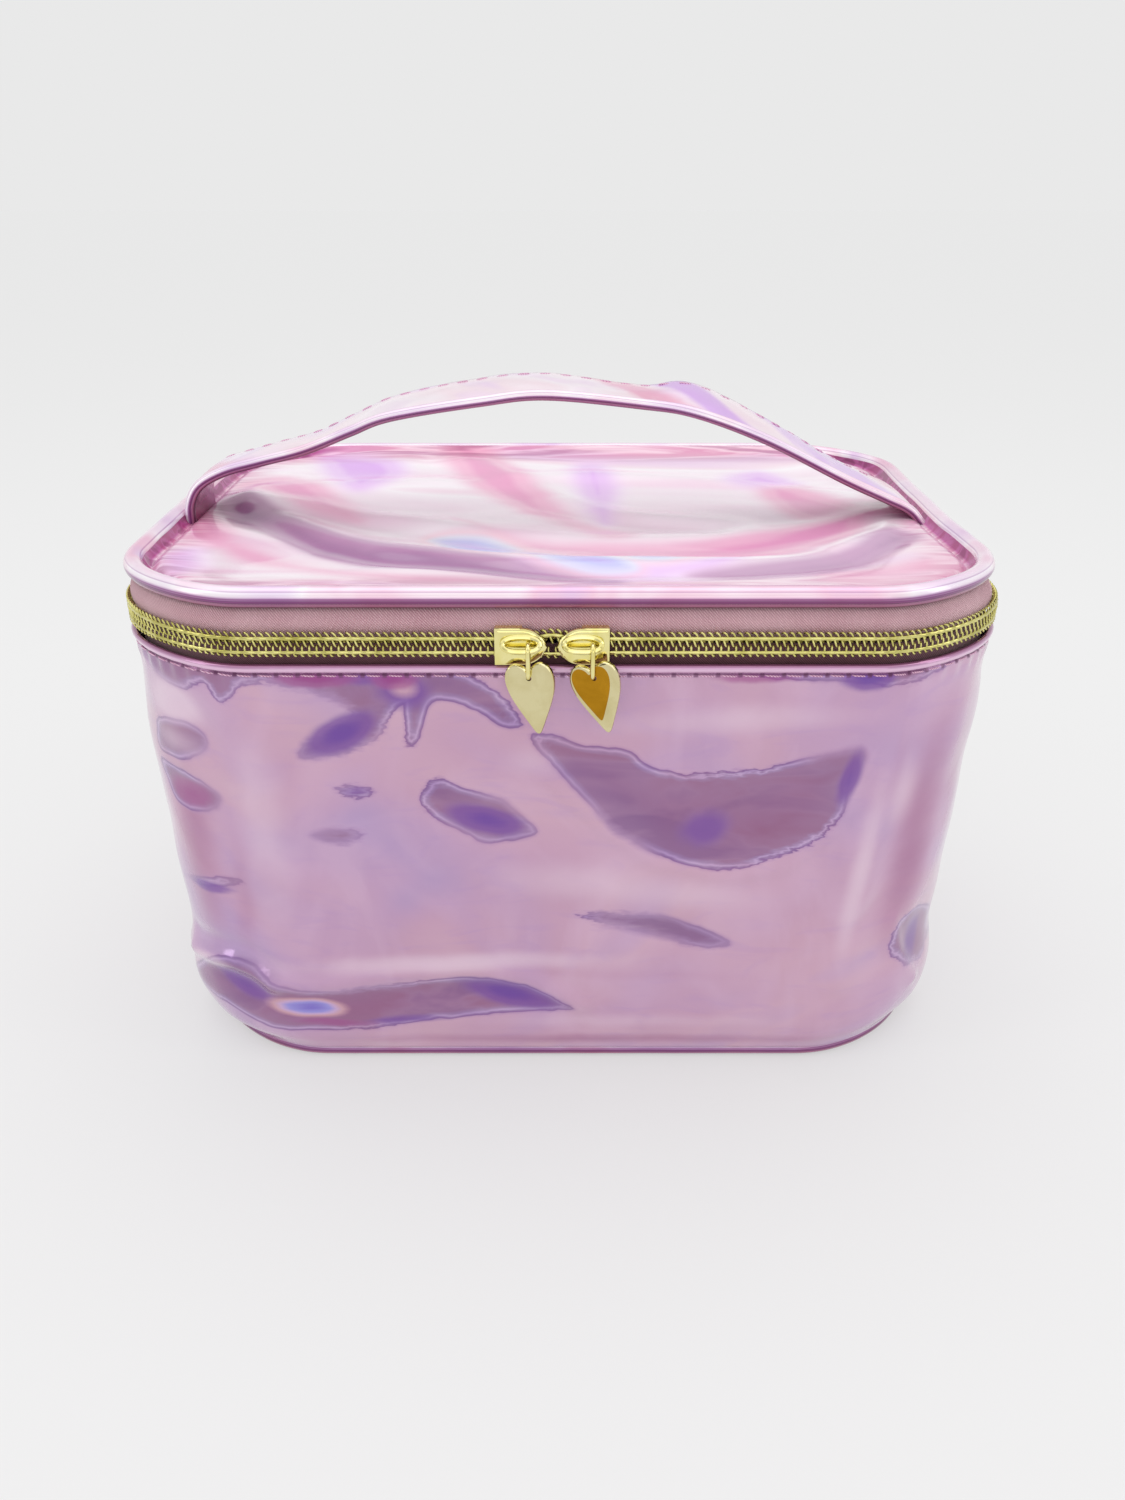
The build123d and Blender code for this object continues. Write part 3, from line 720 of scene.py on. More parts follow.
# Outlines of the painted reflections on the front, as (length along the rim from the front's middle,
# height)
WALL_REFLECTION_OUTLINES = [
    # large swept patch right of the middle
    [(-8, 103.5), (-1, 103.5), (6, 100.5), (15, 100), (20, 96), (29, 93), (41, 93.5), (51, 95),
     (61, 98.5),
     (72, 100), (71, 90), (69, 79.5), (63, 72), (53, 66.5), (44, 64.5), (33, 66), (22, 71),
     (13, 77), (6, 85), (-1, 93.5)],
    # almond left of the middle
    [(-35, 86.5), (-30, 91.5), (-24, 89), (-15, 85.5), (-6, 76.5), (-12, 73.5), (-19, 73),
     (-27, 77), (-32, 80.5)],
    # band under the hem with a drip
    [(-112, 122), (-65, 122), (-30, 121), (-33, 115), (-39, 110), (-43, 103), (-50, 99.5),
     (-62, 97), (-62, 100.5),
     (-56, 105), (-49, 108.5), (-52, 113), (-61, 116.5), (-72, 117.5), (-80, 112), (-84, 116),
     (-92, 113), (-104, 115)],
    # tongue right of the drip
    [(-33, 121), (-19, 118.5), (-9, 107), (-14, 105.8), (-19, 110), (-25, 113), (-30, 112),
     (-34, 102), (-37, 103)],
    [(-56, 88.5), (-51, 90), (-46, 88), (-51, 85.8)],
    [(-64, 75), (-57, 77), (-50, 76), (-58, 72.3)],
    [(3, 50.5), (15, 51), (30, 49), (47, 40.5), (37, 39), (25, 43), (13, 46.5)],
    # long pool above the base
    [(-112, 15), (-104, 25), (-98, 31), (-92, 33.2), (-86, 32.5), (-81, 27.5), (-70, 25),
     (-48, 27), (-29, 29), (-12, 26.5),
     (3, 18.5), (-10, 17), (-31, 15.5), (-52, 12), (-71, 11), (-86, 11.5), (-97, 15)],
    [(-106, 101), (-95, 103.5), (-88, 101), (-90, 95.5), (-99, 91.5), (-108, 92)],
    [(-108, 88.5), (-96, 88), (-87, 84), (-90, 79), (-98, 76.5), (-106, 79)],
    [(-110, 51), (-92, 58.5), (-86, 58.5), (-96, 54)],
    [(94, 42), (104, 43), (113, 36), (112, 22), (101, 24.5), (93, 33)],
    [(28, 121.5), (69, 122), (96, 121.5), (88, 118), (75, 116.5), (66, 117.5), (50, 118.5)],
]
# Violet cores of the painted reflections, as soft spots: place along the rim, height, half sizes, turn,
# weight
WALL_REFLECTION_CORES = [
    (-52, 104, 9, 4.0, 28, 1.0),
    (-36, 115, 7, 5, 0, 0.7),
    (36, 77, 7, 5.5, 0, 0.72),
    (70, 92, 2.4, 8, -8, 0.75),
    (-19, 79.5, 9, 3.6, -14, 0.95),
    (-15, 23, 13, 3.6, -14, 1.0),
    (-46, 14.6, 16, 1.6, 3, 0.6),
    (-90, 24, 8, 3.2, -24, 0.8),
    (-44, 119, 10, 2.4, 0, 0.7),
    (70, 119, 6, 3.2, 0, 1.0),
    (-96, 54, 8, 1.8, 8, 0.8),
    (103, 33, 4, 8, 0, 0.7),
    (-50, 88, 5, 1.8, 0, 0.6),
]
# Deep magenta parts of the painted reflections, as soft spots like the cores
WALL_MAGENTA_REFLECTIONS = [
    (-56, 118.6, 9, 2.2, 0, 1.0),
    (-38, 118.4, 5, 2.4, 0, 1.0),
    (-98, 82, 8, 4.2, 6, 0.85),
    (44, 118.8, 12, 1.4, 0, 0.7),
    (-66, 14, 14, 1.6, -3, 0.7),
]
# Bright painted reflections, peach rims round a blue middle, as soft spots like the cores
WALL_REFLECTION_FLASHES = [(-73, 18.8, 8.5, 2.4, -4, 0.92), (-36, 116, 4, 3, 0, 0.42)]
# Painted highlights: pale columns and spots, as soft spots like the cores
WALL_PAINTED_HIGHLIGHTS = [
    (-76, 80, 9, 38, -4, 0.55),
    (78, 62, 3.2, 30, 0, 0.75),
    (-97, 108, 9, 6, 0, 1.1),
    (-98, 97, 9, 4, 0, 0.8),
    (-99, 29.3, 6, 1.8, 12, 1.2),
    (-30, 34, 46, 3.5, 2, 0.8),
    (30, 57, 34, 6, -6, 0.55),
    (4, 62, 30, 8, 0, 0.5),
    (40, 108, 34, 5, 3, 0.6),
    (-8, 96, 10, 6, 0, 0.5),
    (20, 14, 60, 3, 0, 0.5),
    (86, 86, 5, 12, 0, 0.6),
    (20, 46, 14, 1.2, -10, 0.5),
]
# Painted shade: darker columns and bands, as soft spots like the cores
WALL_SHADE = [
    (-99, 66, 9, 34, 0, 0.75),
    (93, 70, 8, 40, 0, 0.8),
    (106, 90, 9, 24, 0, 0.6),
    (-86, 54, 4, 22, -6, 0.55),
    (82, 96, 3, 14, 0, 0.4),
    (-49, 50, 26, 7, 0, 0.3),
    (60, 40, 26, 9, 12, 0.35),
    (18, 30, 50, 3, -2, 0.4),
    (-10, 108, 8, 8, -30, 0.4),
    (14, 7, 100, 2.5, 0, 0.7),
]


def scatter_wall_spots():
    """The same kinds of painted reflection, highlight and shade for the sides and the back, which the lists
    don't reach.
    """
    rng = random.Random(11)
    for column in range(18):
        for row in range(3):
            s = 124 + column * 23.5 + rng.uniform(-7, 7)
            z = 26 + row * 34 + rng.uniform(-9, 9)
            if rng.random() < 0.45:
                continue
            wide, tall = rng.uniform(7, 19), rng.uniform(3.0, 7.5)
            turn = math.radians(rng.uniform(-32, 32))
            c, n = math.cos(turn), math.sin(turn)
            outline = []
            for k in range(9):
                angle = 2 * math.pi * k / 9
                reach = rng.uniform(0.72, 1.2)
                u = wide * reach * math.copysign(abs(math.cos(angle)) ** 1.4, math.cos(angle))
                v = tall * reach * math.sin(angle)
                outline.append((s + u * c - v * n, z + u * n + v * c))
            WALL_REFLECTION_OUTLINES.append(outline)
            if rng.random() < 0.6:
                WALL_REFLECTION_CORES.append((s, z - 0.5, wide * 0.5, tall * 0.5, math.degrees(turn), 0.9))
    for column in range(14):
        s = 128 + column * 29 + rng.uniform(-8, 8)
        z, wide, tall = rng.uniform(45, 85), rng.uniform(4, 8), rng.uniform(22, 38)
        WALL_PAINTED_HIGHLIGHTS.append((s, z, wide, tall, rng.uniform(-6, 6), 0.85))
        z, wide, tall = rng.uniform(40, 85), rng.uniform(4, 8), rng.uniform(18, 34)
        WALL_SHADE.append((s + 13, z, wide, tall, 0, 0.6))
    for s, z in ((150, 22), (-160, 88), (250, 30), (-210, 100)):
        WALL_REFLECTION_FLASHES.append((s, z, 9, 3, 8, 0.9))
    right_band = [(118, 122), (150, 122), (200, 122), (240, 122), (236, 118), (190, 115.5), (150, 118)]
    WALL_REFLECTION_OUTLINES.append(right_band)
    WALL_REFLECTION_OUTLINES.append([(290, 122), (330, 122), (390, 122), (384, 116), (350, 118.5), (310, 116)])


scatter_wall_spots()


def curve_point(near, t):
    """Catmull-Rom point between the middle two of four points."""
    a, b, c, d = near
    bend = (2 * a - 5 * b + 4 * c - d) * t**2 + (3 * b - a - 3 * c + d) * t**3
    return 0.5 * (2 * b + (c - a) * t + bend)


def closed_curve(points, per_side=7):
    """Catmull-Rom curve through a closed list of points."""
    points = np.asarray(points, float)
    out = []
    for k in range(len(points)):
        near = [points[(k + i - 1) % len(points)] for i in range(4)]
        out += [curve_point(near, t) for t in np.arange(per_side) / per_side]
    return np.array(out)


def open_curve(points, per_side=6):
    """Catmull-Rom curve through points, ends included."""
    points = np.asarray(points, float)
    ends = np.concatenate([[2 * points[0] - points[1]], points, [2 * points[-1] - points[-2]]])
    out = []
    for k in range(len(points) - 1):
        for t in np.arange(per_side) / per_side:
            out.append(curve_point(ends[k : k + 4], t))
    out.append(points[-1])
    return np.array(out)


DEPTH_SPAN = 10.0


def outline_depth(s, z, outline):
    """How far each point lies inside the outline in mm, negative outside, down to -DEPTH_SPAN."""
    curve = closed_curve(outline)
    middle = curve[:, 0].mean()
    s = middle + (s - middle + RIM.total / 2) % RIM.total - RIM.total / 2
    low, high = curve.min(0) - DEPTH_SPAN, curve.max(0) + DEPTH_SPAN
    near = (s > low[0]) & (s < high[0]) & (z > low[1]) & (z < high[1])
    depth = np.full(s.shape, -DEPTH_SPAN)
    if not near.any():
        return depth
    p = np.stack([s[near], z[near]], 1)[:, None]
    a, b = curve[None], np.roll(curve, -1, 0)[None]
    ab = b - a
    t = np.clip(((p - a) * ab).sum(2) / np.maximum((ab**2).sum(2), 1e-9), 0, 1)
    distance = np.linalg.norm(p - a - t[:, :, None] * ab, axis=2).min(1)
    crosses = (a[:, :, 1] > p[:, :, 1]) != (b[:, :, 1] > p[:, :, 1])
    rise = np.where(np.abs(ab[:, :, 1]) < 1e-9, 1e-9, ab[:, :, 1])
    left = p[:, :, 0] < a[:, :, 0] + ab[:, :, 0] * (p[:, :, 1] - a[:, :, 1]) / rise
    inside = (crosses & left).sum(1) % 2 == 1
    depth[near] = np.where(inside, distance, -distance)
    return np.maximum(depth, -DEPTH_SPAN)


def reflection_level(s, z):
    """0.5 on the outlines, rising inside to 1 and falling outside to 0."""
    depth = np.full(s.shape, -DEPTH_SPAN)
    for outline in WALL_REFLECTION_OUTLINES:
        depth = np.maximum(depth, outline_depth(s, z, outline))
    return 0.5 + np.clip(depth, -DEPTH_SPAN, DEPTH_SPAN) / (2 * DEPTH_SPAN)


FOLD_LINE = (
    (-112, 27), (-101, 30), (-93, 31), (-87, 30), (-82, 27), (-72, 26), (-50, 29), (-29, 31), (-10, 28),
    (5, 20),
)
FOLD_HEAD = ((-106, 28.5), (-98, 30.5), (-91, 31.5), (-86, 30), (-82, 26))


def wall_bulge(s, z):
    """How far the film stands out of the smooth wall, from its dents and folds."""
    loop = 2 * math.pi * s / RIM.total
    cx, cy = 3.1 * np.cos(loop), 3.1 * np.sin(loop)
    broad = smooth_noise(cx, cy, z / 42.0 + 3)
    middle = smooth_noise(2.8 * cx, 2.8 * cy, z / 19.0)
    out = 1.4 * broad + 0.7 * middle
    out += 0.9 * ridge(s, z, FOLD_LINE, 3.0) + 1.3 * ridge(s, z, FOLD_HEAD, 2.8)
    out -= 0.8 * ridge(s, z, [(a, b + 5.5) for a, b in FOLD_HEAD], 2.6)
    out -= 0.9 * ridge(s, z, [(a, b - 6) for a, b in FOLD_LINE[2:]], 5.0)
    out += 2.2 * blob(s, z, [(-116, 14, 26, 12, 0, 1.0)]) + 1.2 * blob(s, z, [(118, 13, 24, 9, 0, 1.0)])
    out += 1.0 * blob(s, z, [(-118, 50, 20, 11, 0, 1.0)])
    out += 0.9 * ridge(s, z, ((78, 28), (78, 92)), 4.5)
    out -= 2.4 * blob(s, z, [(102, 34, 8, 10, 10, 1.0)]) + 0.8 * blob(s, z, [(82, 46, 3, 6, -30, 1.0)])
    out += 1.0 * ridge(s, z, ((92, 44), (97, 30), (104, 18)), 2.2)
    out -= 1.1 * blob(s, z, [(44, 80, 26, 14, 8, 1.0)])
    out += 0.6 * ridge(s, z, ((-4, 92), (10, 78), (24, 67), (44, 62), (58, 65), (68, 76), (74, 98)), 2.4)
    small_dents = [(-20, 81, 13, 6, -24, 1.0), (24, 45, 20, 4, -14, 1.0), (-52, 104, 12, 6, 28, 1.0)]
    out -= 0.9 * blob(s, z, small_dents)
    out -= 1.0 * blob(s, z, [(-96, 83, 12, 6, 10, 1.0), (-98, 100, 10, 8, 0, 0.8)])
    beside = fade(np.abs(s), 84, 100) * (1 - fade(np.abs(s), 226, 246))
    out += 2.0 * beside * (1 - fade(np.abs(z - 62), 30, 58))
    keep = fade(z, 2.5, 8) * (1 - fade(z, 106, 117))
    puckers = 0.28 * np.sin(s * 2 * math.pi / STITCH_PITCH) * np.exp(-(((z - 117.6) / 1.8) ** 2))
    return out * keep + puckers


def settle(points):
    """The soft case gives at its corners, and the lid leans in where the strap pulls its sides."""
    x, y, z = points.T
    across = np.minimum((x / 106.2) ** 4 * (y / 75.5) ** 4 / 0.38, 1.25)
    deep = 1.75 * fade(np.abs(x), 69, 108) * (y / 75.5) ** 4
    lean = np.where(x > 0, RIGHT_LEAN, LEFT_LEAN) * fade(z, 127.5, 135) * fade(np.abs(x), 45, 104)
    lean = lean * (0.35 + 0.65 * fade(y, -66, -10)) * (1 - 0.5 * fade(y, 20, 75))
    moved = points.copy()
    moved[:, 0] -= np.sign(x) * (0.707 * CORNER_GIVE * across + lean)
    moved[:, 1] -= np.sign(y) * 0.707 * CORNER_GIVE * deep
    return moved


def wall_rows(heights, offset, rim=RIM, extra=0.0):
    """Rows of wall points at the given heights, moved in by offset and out by extra per row."""
    extra = np.broadcast_to(extra, (len(heights),))
    rows, arcs = [], []
    for z, more in zip(heights, extra):
        width, depth, radius = wall_size(min(z, 121.5))
        x, y, nx, ny = rim.points(width - 2 * offset, depth - 2 * offset, max(radius - offset, 5))
        out = wall_bulge(rim.s, np.full(rim.count, float(z))) + more
        rows.append(np.stack([x + nx * out, y + ny * out, np.full(rim.count, float(z))], 1))
        arcs.append(rim.s)
    return np.array(rows), np.array(arcs)


def closed_band(name, outer, inner, arcs, material, inner_arcs=None, **attributes):
    """Closed ring from outer and inner rows of points."""
    inner_arcs = arcs if inner_arcs is None else inner_arcs
    points = np.concatenate([outer.reshape(-1, 3), inner[::-1].reshape(-1, 3)])
    s = np.concatenate([arcs.ravel(), inner_arcs[::-1].ravel()])
    faces = grid_faces(len(outer) + len(inner), outer.shape[1], True, True)
    z = points[:, 2]
    values = {key: make(s, z) for key, make in attributes.items()}
    rim_values = np.stack([s, z, np.zeros_like(s)], 1) * MM
    return make_object(name, points, faces, material, rim=rim_values, **values)


def sweep_rim(name, profile, material, rim=RIM, wobble=0.0, part=None):
    """Closed profile of (inset, height) points carried round the rim, or along part of it."""
    keep = np.ones(rim.count, bool) if part is None else part(rim)
    order = np.arange(rim.count)
    if part is not None:
        start = next(i for i in range(rim.count) if keep[i] and not keep[i - 1])
        order = [(start + k) % rim.count for k in range(rim.count)]
        order = [i for i in order if keep[i]]
    columns = []
    profile = np.asarray(profile, float)
    for inset, z in profile:
        x, y, nx, ny = rim.points(CASE_W - 2 * inset, CASE_D - 2 * inset, max(CORNER_R - inset, 3))
        loop = 2 * math.pi * rim.s / rim.total
        if wobble:
            shift = wobble * smooth_noise(9 * np.cos(loop), 9 * np.sin(loop), np.full(rim.count, z / 9))
        else:
            shift = np.zeros(rim.count)
        columns.append(np.stack([x + nx * shift, y + ny * shift, np.full(rim.count, z) + 0.5 * shift], 1))
    grid = np.array(columns)[:, order]
    rows, count = grid.shape[:2]
    faces = grid_faces(rows, count, part is None, True)
    if part is not None:
        faces += end_caps(rows, count)
    lengths = np.tile(rim.s[order], (rows, 1))
    heights = np.repeat(profile[:, 1:2], count, 1)
    rim_values = np.stack([lengths, heights, np.zeros_like(lengths)], 2).reshape(-1, 3) * MM
    low, high = profile[:, 1].min(), profile[:, 1].max()
    up = np.repeat((profile[:, 1:2] - low) / (high - low), count, 1).ravel()
    return make_object(name, grid.reshape(-1, 3), faces, material, rim=rim_values, around=up)


def tube(path, radius, sides=8, closed=False, squeeze=1.0, up=None):
    """Points and faces of a tube along a path, with its ends capped."""
    path = np.asarray(path, float)
    count = len(path)
    if closed:
        tangent = np.roll(path, -1, 0) - np.roll(path, 1, 0)
    else:
        tangent = np.gradient(path, axis=0)
    tangent /= np.linalg.norm(tangent, axis=1)[:, None]
    guide = np.array(up if up is not None else (0, 0, 1.0))
    side = np.cross(tangent, guide)
    weak = np.linalg.norm(side, axis=1) < 1e-3
    side[weak] = np.cross(tangent[weak], np.array((0.0, 1.0, 0.0)))
    side /= np.linalg.norm(side, axis=1)[:, None]
    over = np.cross(side, tangent)
    angles = np.linspace(0, 2 * math.pi, sides, endpoint=False)
    radius = np.broadcast_to(radius, (count,))
    points = (
        path[:, None]
        + radius[:, None, None] * np.cos(angles)[None, :, None] * side[:, None]
        + squeeze * radius[:, None, None] * np.sin(angles)[None, :, None] * over[:, None]
    ).reshape(-1, 3)
    faces = flipped(grid_faces(count, sides, True, closed))
    if not closed:
        faces.append(tuple(range(sides)))
        faces.append(tuple(range(count * sides - 1, (count - 1) * sides - 1, -1)))
    return points, faces


def joined(name, parts, material, smooth_angle=60.0):
    """One object from several (points, faces) parts."""
    points, faces, start = [], [], 0
    for part_points, part_faces in parts:
        points.append(np.asarray(part_points, float))
        faces += [tuple(i + start for i in face) for face in part_faces]
        start += len(part_points)
    return make_object(name, np.concatenate(points), faces, material, smooth_angle)


# ---------------------------------------------------------------- body of the case


def wall_attributes():
    return {
        "patch": reflection_level,
        "core": lambda s, z: blob(s, z, WALL_REFLECTION_CORES),
        "flash": lambda s, z: blob(s, z, WALL_REFLECTION_FLASHES),
        "magenta": lambda s, z: blob(s, z, WALL_MAGENTA_REFLECTIONS),
        "pale": lambda s, z: blob(s, z, WALL_PAINTED_HIGHLIGHTS, 3.0),
        "shade": lambda s, z: blob(s, z, WALL_SHADE, 3.0),
        "height": lambda s, z: z / HEM_RIM_TOP,
    }


def make_wall(materials):
    # The wall ends in a crease at the seam and a rolled rim above it
    rim_z = [118.4, 118.9, 119.3, 119.55, 119.75, 119.95, 120.3, 120.8, 121.3, 121.7, 121.95, 122.0]
    rim_out = [0.0, 0.0, -0.1, -0.35, -0.45, -0.1, 0.45, 0.7, 0.72, 0.5, 0.2, -0.4]
    flat_z = list(np.linspace(3.2, 117.8, 92))
    heights = np.array(flat_z + rim_z)
    proud = np.array([0.0] * len(flat_z) + rim_out)
    outer, arcs = wall_rows(heights, 0.0, WALL_RIM, proud)
    inner_heights = np.concatenate([np.linspace(3.2, 117.0, 30), [120.0, 121.6]])
    inner, inner_arcs = wall_rows(inner_heights, FILM_BACK, WALL_RIM)
    painted = wall_attributes()
    wall = closed_band("wall_film_skin", outer, inner, arcs, materials["wall"], inner_arcs, **painted)
    finish_piece(wall, "body", "film", "wall_film")

    heights = np.linspace(3.3, TAPE_BOTTOM - 0.2, 52)
    outer, arcs = wall_rows(heights, FOAM_FACE)
    inner, _ = wall_rows(heights, FOAM_BACK)
    foam = closed_band("wall_foam_sheet", outer, inner, arcs, materials["foam"])
    finish_piece(foam, "body", "foam", "wall_foam")

    heights = np.linspace(3.2, 119.0, 52)
    outer, arcs = wall_rows(heights, LINING_FACE)
    ripple = 0.25 * np.sin(heights / 3.1) * fade(heights, 5, 20)
    inner, _ = wall_rows(heights, LINING_BACK, extra=ripple)
    lining = closed_band("body_lining_wall", outer, inner, arcs, materials["lining"])
    finish_piece(lining, "body", "lining", "body_lining")


def plate(name, width, depth, radius, low, high, material, rise=None, steps=(96, 66), **attributes):
    """Rounded rectangular sheet between two heights, its surface shaped by rise(x, y)."""
    columns, rows = steps
    v = np.linspace(-1, 1, rows)
    v = np.sin(v * math.pi / 2)
    u = np.linspace(-1, 1, columns)
    y = np.repeat(v[:, None] * depth / 2, columns, 1)
    past = np.clip(np.abs(y) - (depth / 2 - radius), 0, radius)
    half = width / 2 - radius + np.sqrt(np.maximum(radius**2 - past**2, 0))
    x = u[None, :] * half
    lift = rise(x, y) if rise else np.zeros_like(x)
    top = np.stack([x, y, high + lift], 2).reshape(-1, 3)
    bottom = np.stack([x, y, low + lift], 2).reshape(-1, 3)
    points = np.concatenate([top, bottom])
    faces = sheet_faces(rows, columns)
    values = {key: np.tile(make(x, y).ravel(), 2) for key, make in attributes.items()}
    flat = np.stack([x, y, np.zeros_like(x)], 2).reshape(-1, 3) * MM
    return make_object(name, points, faces, material, rim=np.tile(flat, (2, 1)), **values)


def make_base(materials):
    size, layer = (BASE_W, BASE_D, BASE_R), BASE_LAYERS["film"]
    base = plate("base_film", *size, *layer, materials["wall"], steps=(80, 56))
    finish_piece(base, "body", "film", "base_panel")
    size, layer = (BASE_W - 0.4, BASE_D - 0.4, BASE_R), BASE_LAYERS["board"]
    board = plate("base_board_sheet", *size, *layer, materials["board"], steps=(40, 28))
    finish_piece(board, "body", "board", "base_board")

    def slack(x, y):
        return 0.35 * smooth_noise(x / 26, y / 26, np.full_like(x, 4.0)) + 0.35

    size, layer = (BASE_W - 2.4, BASE_D - 1.6, BASE_R - 1), BASE_LAYERS["lining"]
    floor = plate("lining_floor", *size, *layer, materials["lining"], rise=slack)
    finish_piece(floor, "body", "lining")

    angles = np.linspace(0, 2 * math.pi, 18, endpoint=False)
    ring = []
    path_x, path_y, nx, ny = FINE_RIM.points(BASE_W + 2.6, BASE_D + 2.8, BASE_R + 1)
    loop = 2 * math.pi * FINE_RIM.s / FINE_RIM.total
    rough = smooth_noise(20 * np.cos(loop), 20 * np.sin(loop), np.full(FINE_RIM.count, 2.0))
    swell = 1.3 + 0.06 * rough
    for angle in angles:
        out = swell * math.cos(angle)
        up = 1.6 + 1.45 * math.sin(angle)
        ring.append(np.stack([path_x + nx * out, path_y + ny * out, np.full(FINE_RIM.count, up)], 1))
    points = np.array(ring).reshape(-1, 3)
    faces = grid_faces(len(angles), FINE_RIM.count, True, True)
    # The roll's upper half takes the piping's painted highlight, its lower half the painted shade
    share = np.repeat(0.33 + 0.36 * np.sin(angles), FINE_RIM.count)
    piping = make_object("base_piping_roll", points, faces, materials["piping"], around=share)
    finish_piece(piping, "body", "piping_film", "base_piping")


def round_profile(centre_inset, centre_z, radius, count=26, groove=None):
    """Round cord in section, with an optional groove at an angle."""
    points = []
    for k in range(count):
        angle = 2 * math.pi * k / count
        r = radius
        if groove is not None:
            at, wide, depth = groove
            away = (math.degrees(angle) - at + 180) % 360 - 180
            r -= depth * math.exp(-((away / wide) ** 2))
        points.append((centre_inset - r * math.cos(angle), centre_z + r * math.sin(angle)))
    return points


def ribbon_profile(line, thickness):
    """Closed section of a ribbon from its outer face's (inset, height) line."""
    line = np.asarray(line, float)
    tangent = np.gradient(line, axis=0)
    tangent /= np.linalg.norm(tangent, axis=1)[:, None]
    inward = np.stack([tangent[:, 1], -tangent[:, 0]], 1)
    back = line + thickness * inward
    return np.concatenate([line, back[::-1]])


def along_zip(rim):
    return rim.y0 < CHAIN_END_Y


def behind_zip(rim):
    return rim.y0 >= CHAIN_END_Y


def make_tapes(materials):
    up = np.linspace(0, 1, 14)
    upper = np.stack([2.45 - 1.45 * np.sin(math.pi * up) ** 0.8, 127.6 + 7.4 * up], 1)
    section = ribbon_profile(upper, TAPE_THICK)
    tape = sweep_rim("upper_tape_weave", section, materials["tape"], FINE_RIM, 0.14, along_zip)
    finish_piece(tape, "lid", "tape", "upper_zipper_tape")
    down = np.linspace(0, 1, 9)
    lower = np.stack([3.35 - 0.85 * down, 112.5 + 13.9 * down], 1)
    section = ribbon_profile(lower, TAPE_THICK)
    tape = sweep_rim("lower_tape_weave", section, materials["tape_in_shade"], FINE_RIM, 0.0, along_zip)
    finish_piece(tape, "body", "tape", "lower_zipper_tape")


# One loop, pin and knot of each half of the coil: way along the rim, height off the middle, depth
# and wire radius at each point. The upper half's pins slant across the middle; the lower half's
# are short and upright.
LOOP_UPPER = np.array((
    (-0.75, 2.30, 1.0, 0.18), (-0.60, 2.72, 0.45, 0.25), (-0.30, 2.82, 0.18, 0.28),
    (0.10, 2.55, 0.10, 0.27), (0.40, 2.10, 0.18, 0.24), (0.55, 1.70, 0.50, 0.18),
))
LOOP_LOWER = np.array((
    (-0.45, 2.05, 0.70, 0.18), (-0.25, 2.45, 0.30, 0.24), (0.00, 2.72, 0.20, 0.26),
    (0.28, 2.78, 0.35, 0.24), (0.45, 2.60, 0.90, 0.18),
))
PIN_UPPER = np.array((
    (-0.42, 1.05, 0.50, 0.22), (-0.34, 0.80, 0.22, 0.25), (-0.10, 0.25, 0.16, 0.27),
    (0.14, -0.30, 0.24, 0.27), (0.24, -0.60, 0.55, 0.22),
))
PIN_LOWER = np.array((
    (0.00, 1.70, 0.50, 0.24), (0.00, 1.35, 0.28, 0.28), (0.00, 0.95, 0.30, 0.30),
    (0.02, 0.55, 0.55, 0.28), (0.04, 0.35, 1.00, 0.22),
))
KNOT = np.array(((0.20, 0.62, 0.95, 0.22), (0.42, 0.48, 0.80, 0.33), (0.64, 0.34, 0.95, 0.22)))


def rim_sampler(inset):
    """Function from length along the zipper line to a point and outward normal at that inset."""
    rim = FINE_RIM
    x, y, nx, ny = rim.points(CASE_W - 2 * inset, CASE_D - 2 * inset, CORNER_R - inset)
    s = np.concatenate([rim.length, [rim.total]])
    table = [np.concatenate([a, a[:1]]) for a in (x, y, nx, ny)]
    return lambda length: [np.interp(np.mod(length, rim.total), s, a) for a in table]


def zip_limit():
    """Length along the zipper line, each way from the front's middle, to the chain's end."""
    keep = along_zip(FINE_RIM) & (FINE_RIM.length < FINE_RIM.total / 2)
    return FINE_RIM.length[keep].max()


def lens_opening(length, sign):
    """How far the coil's halves bow apart between the two sliders."""
    return (0.85 if sign > 0 else -0.30) * np.exp(-(((length - MEET_X) / 3.4) ** 2))


COIL_WIRES = {1: (LOOP_UPPER, PIN_UPPER, KNOT), -1: (LOOP_LOWER, PIN_LOWER)}


def make_coil(name, sign, body, node, materials):
    """One half of the coil: a row of slanted outer loops, a flat cord and hooked pins that reach
    across the middle between the other half's pins."""
    limit = zip_limit()
    sampler = rim_sampler(0.0)

    def place(length, level, inset):
        length, level, inset = np.broadcast_arrays(length, level, inset)
        x, y, nx, ny = sampler(length)
        z = ZIP_Z + sign * level + lens_opening(length, sign)
        return np.stack([x - nx * inset, y - ny * inset, z], 1)

    parts = []
    along = np.linspace(-limit, limit, int(2 * limit / 0.65))
    twist = np.sin(along * 4 * math.pi / COIL_PITCH)
    level = 1.38 if sign > 0 else 1.88
    wire = (0.30 if sign > 0 else 0.26) + 0.03 * twist
    parts.append(tube(place(along, level, 0.28 - 0.06 * twist), wire, 10, squeeze=1.6))
    shift = 0.5 * COIL_PITCH if sign > 0 else 0.0
    for k in range(int(2 * limit / COIL_PITCH) - 1):
        start = -limit + (k + 0.5) * COIL_PITCH + shift
        for way, height, inset, thick in (piece.T for piece in COIL_WIRES[sign]):
            parts.append(tube(place(start + way, height, inset), thick, 7, up=(0.9, 0.1, 0.2)))
    coil = joined(name, parts, materials["coil"])
    finish_piece(coil, body, "coil_gold", node)


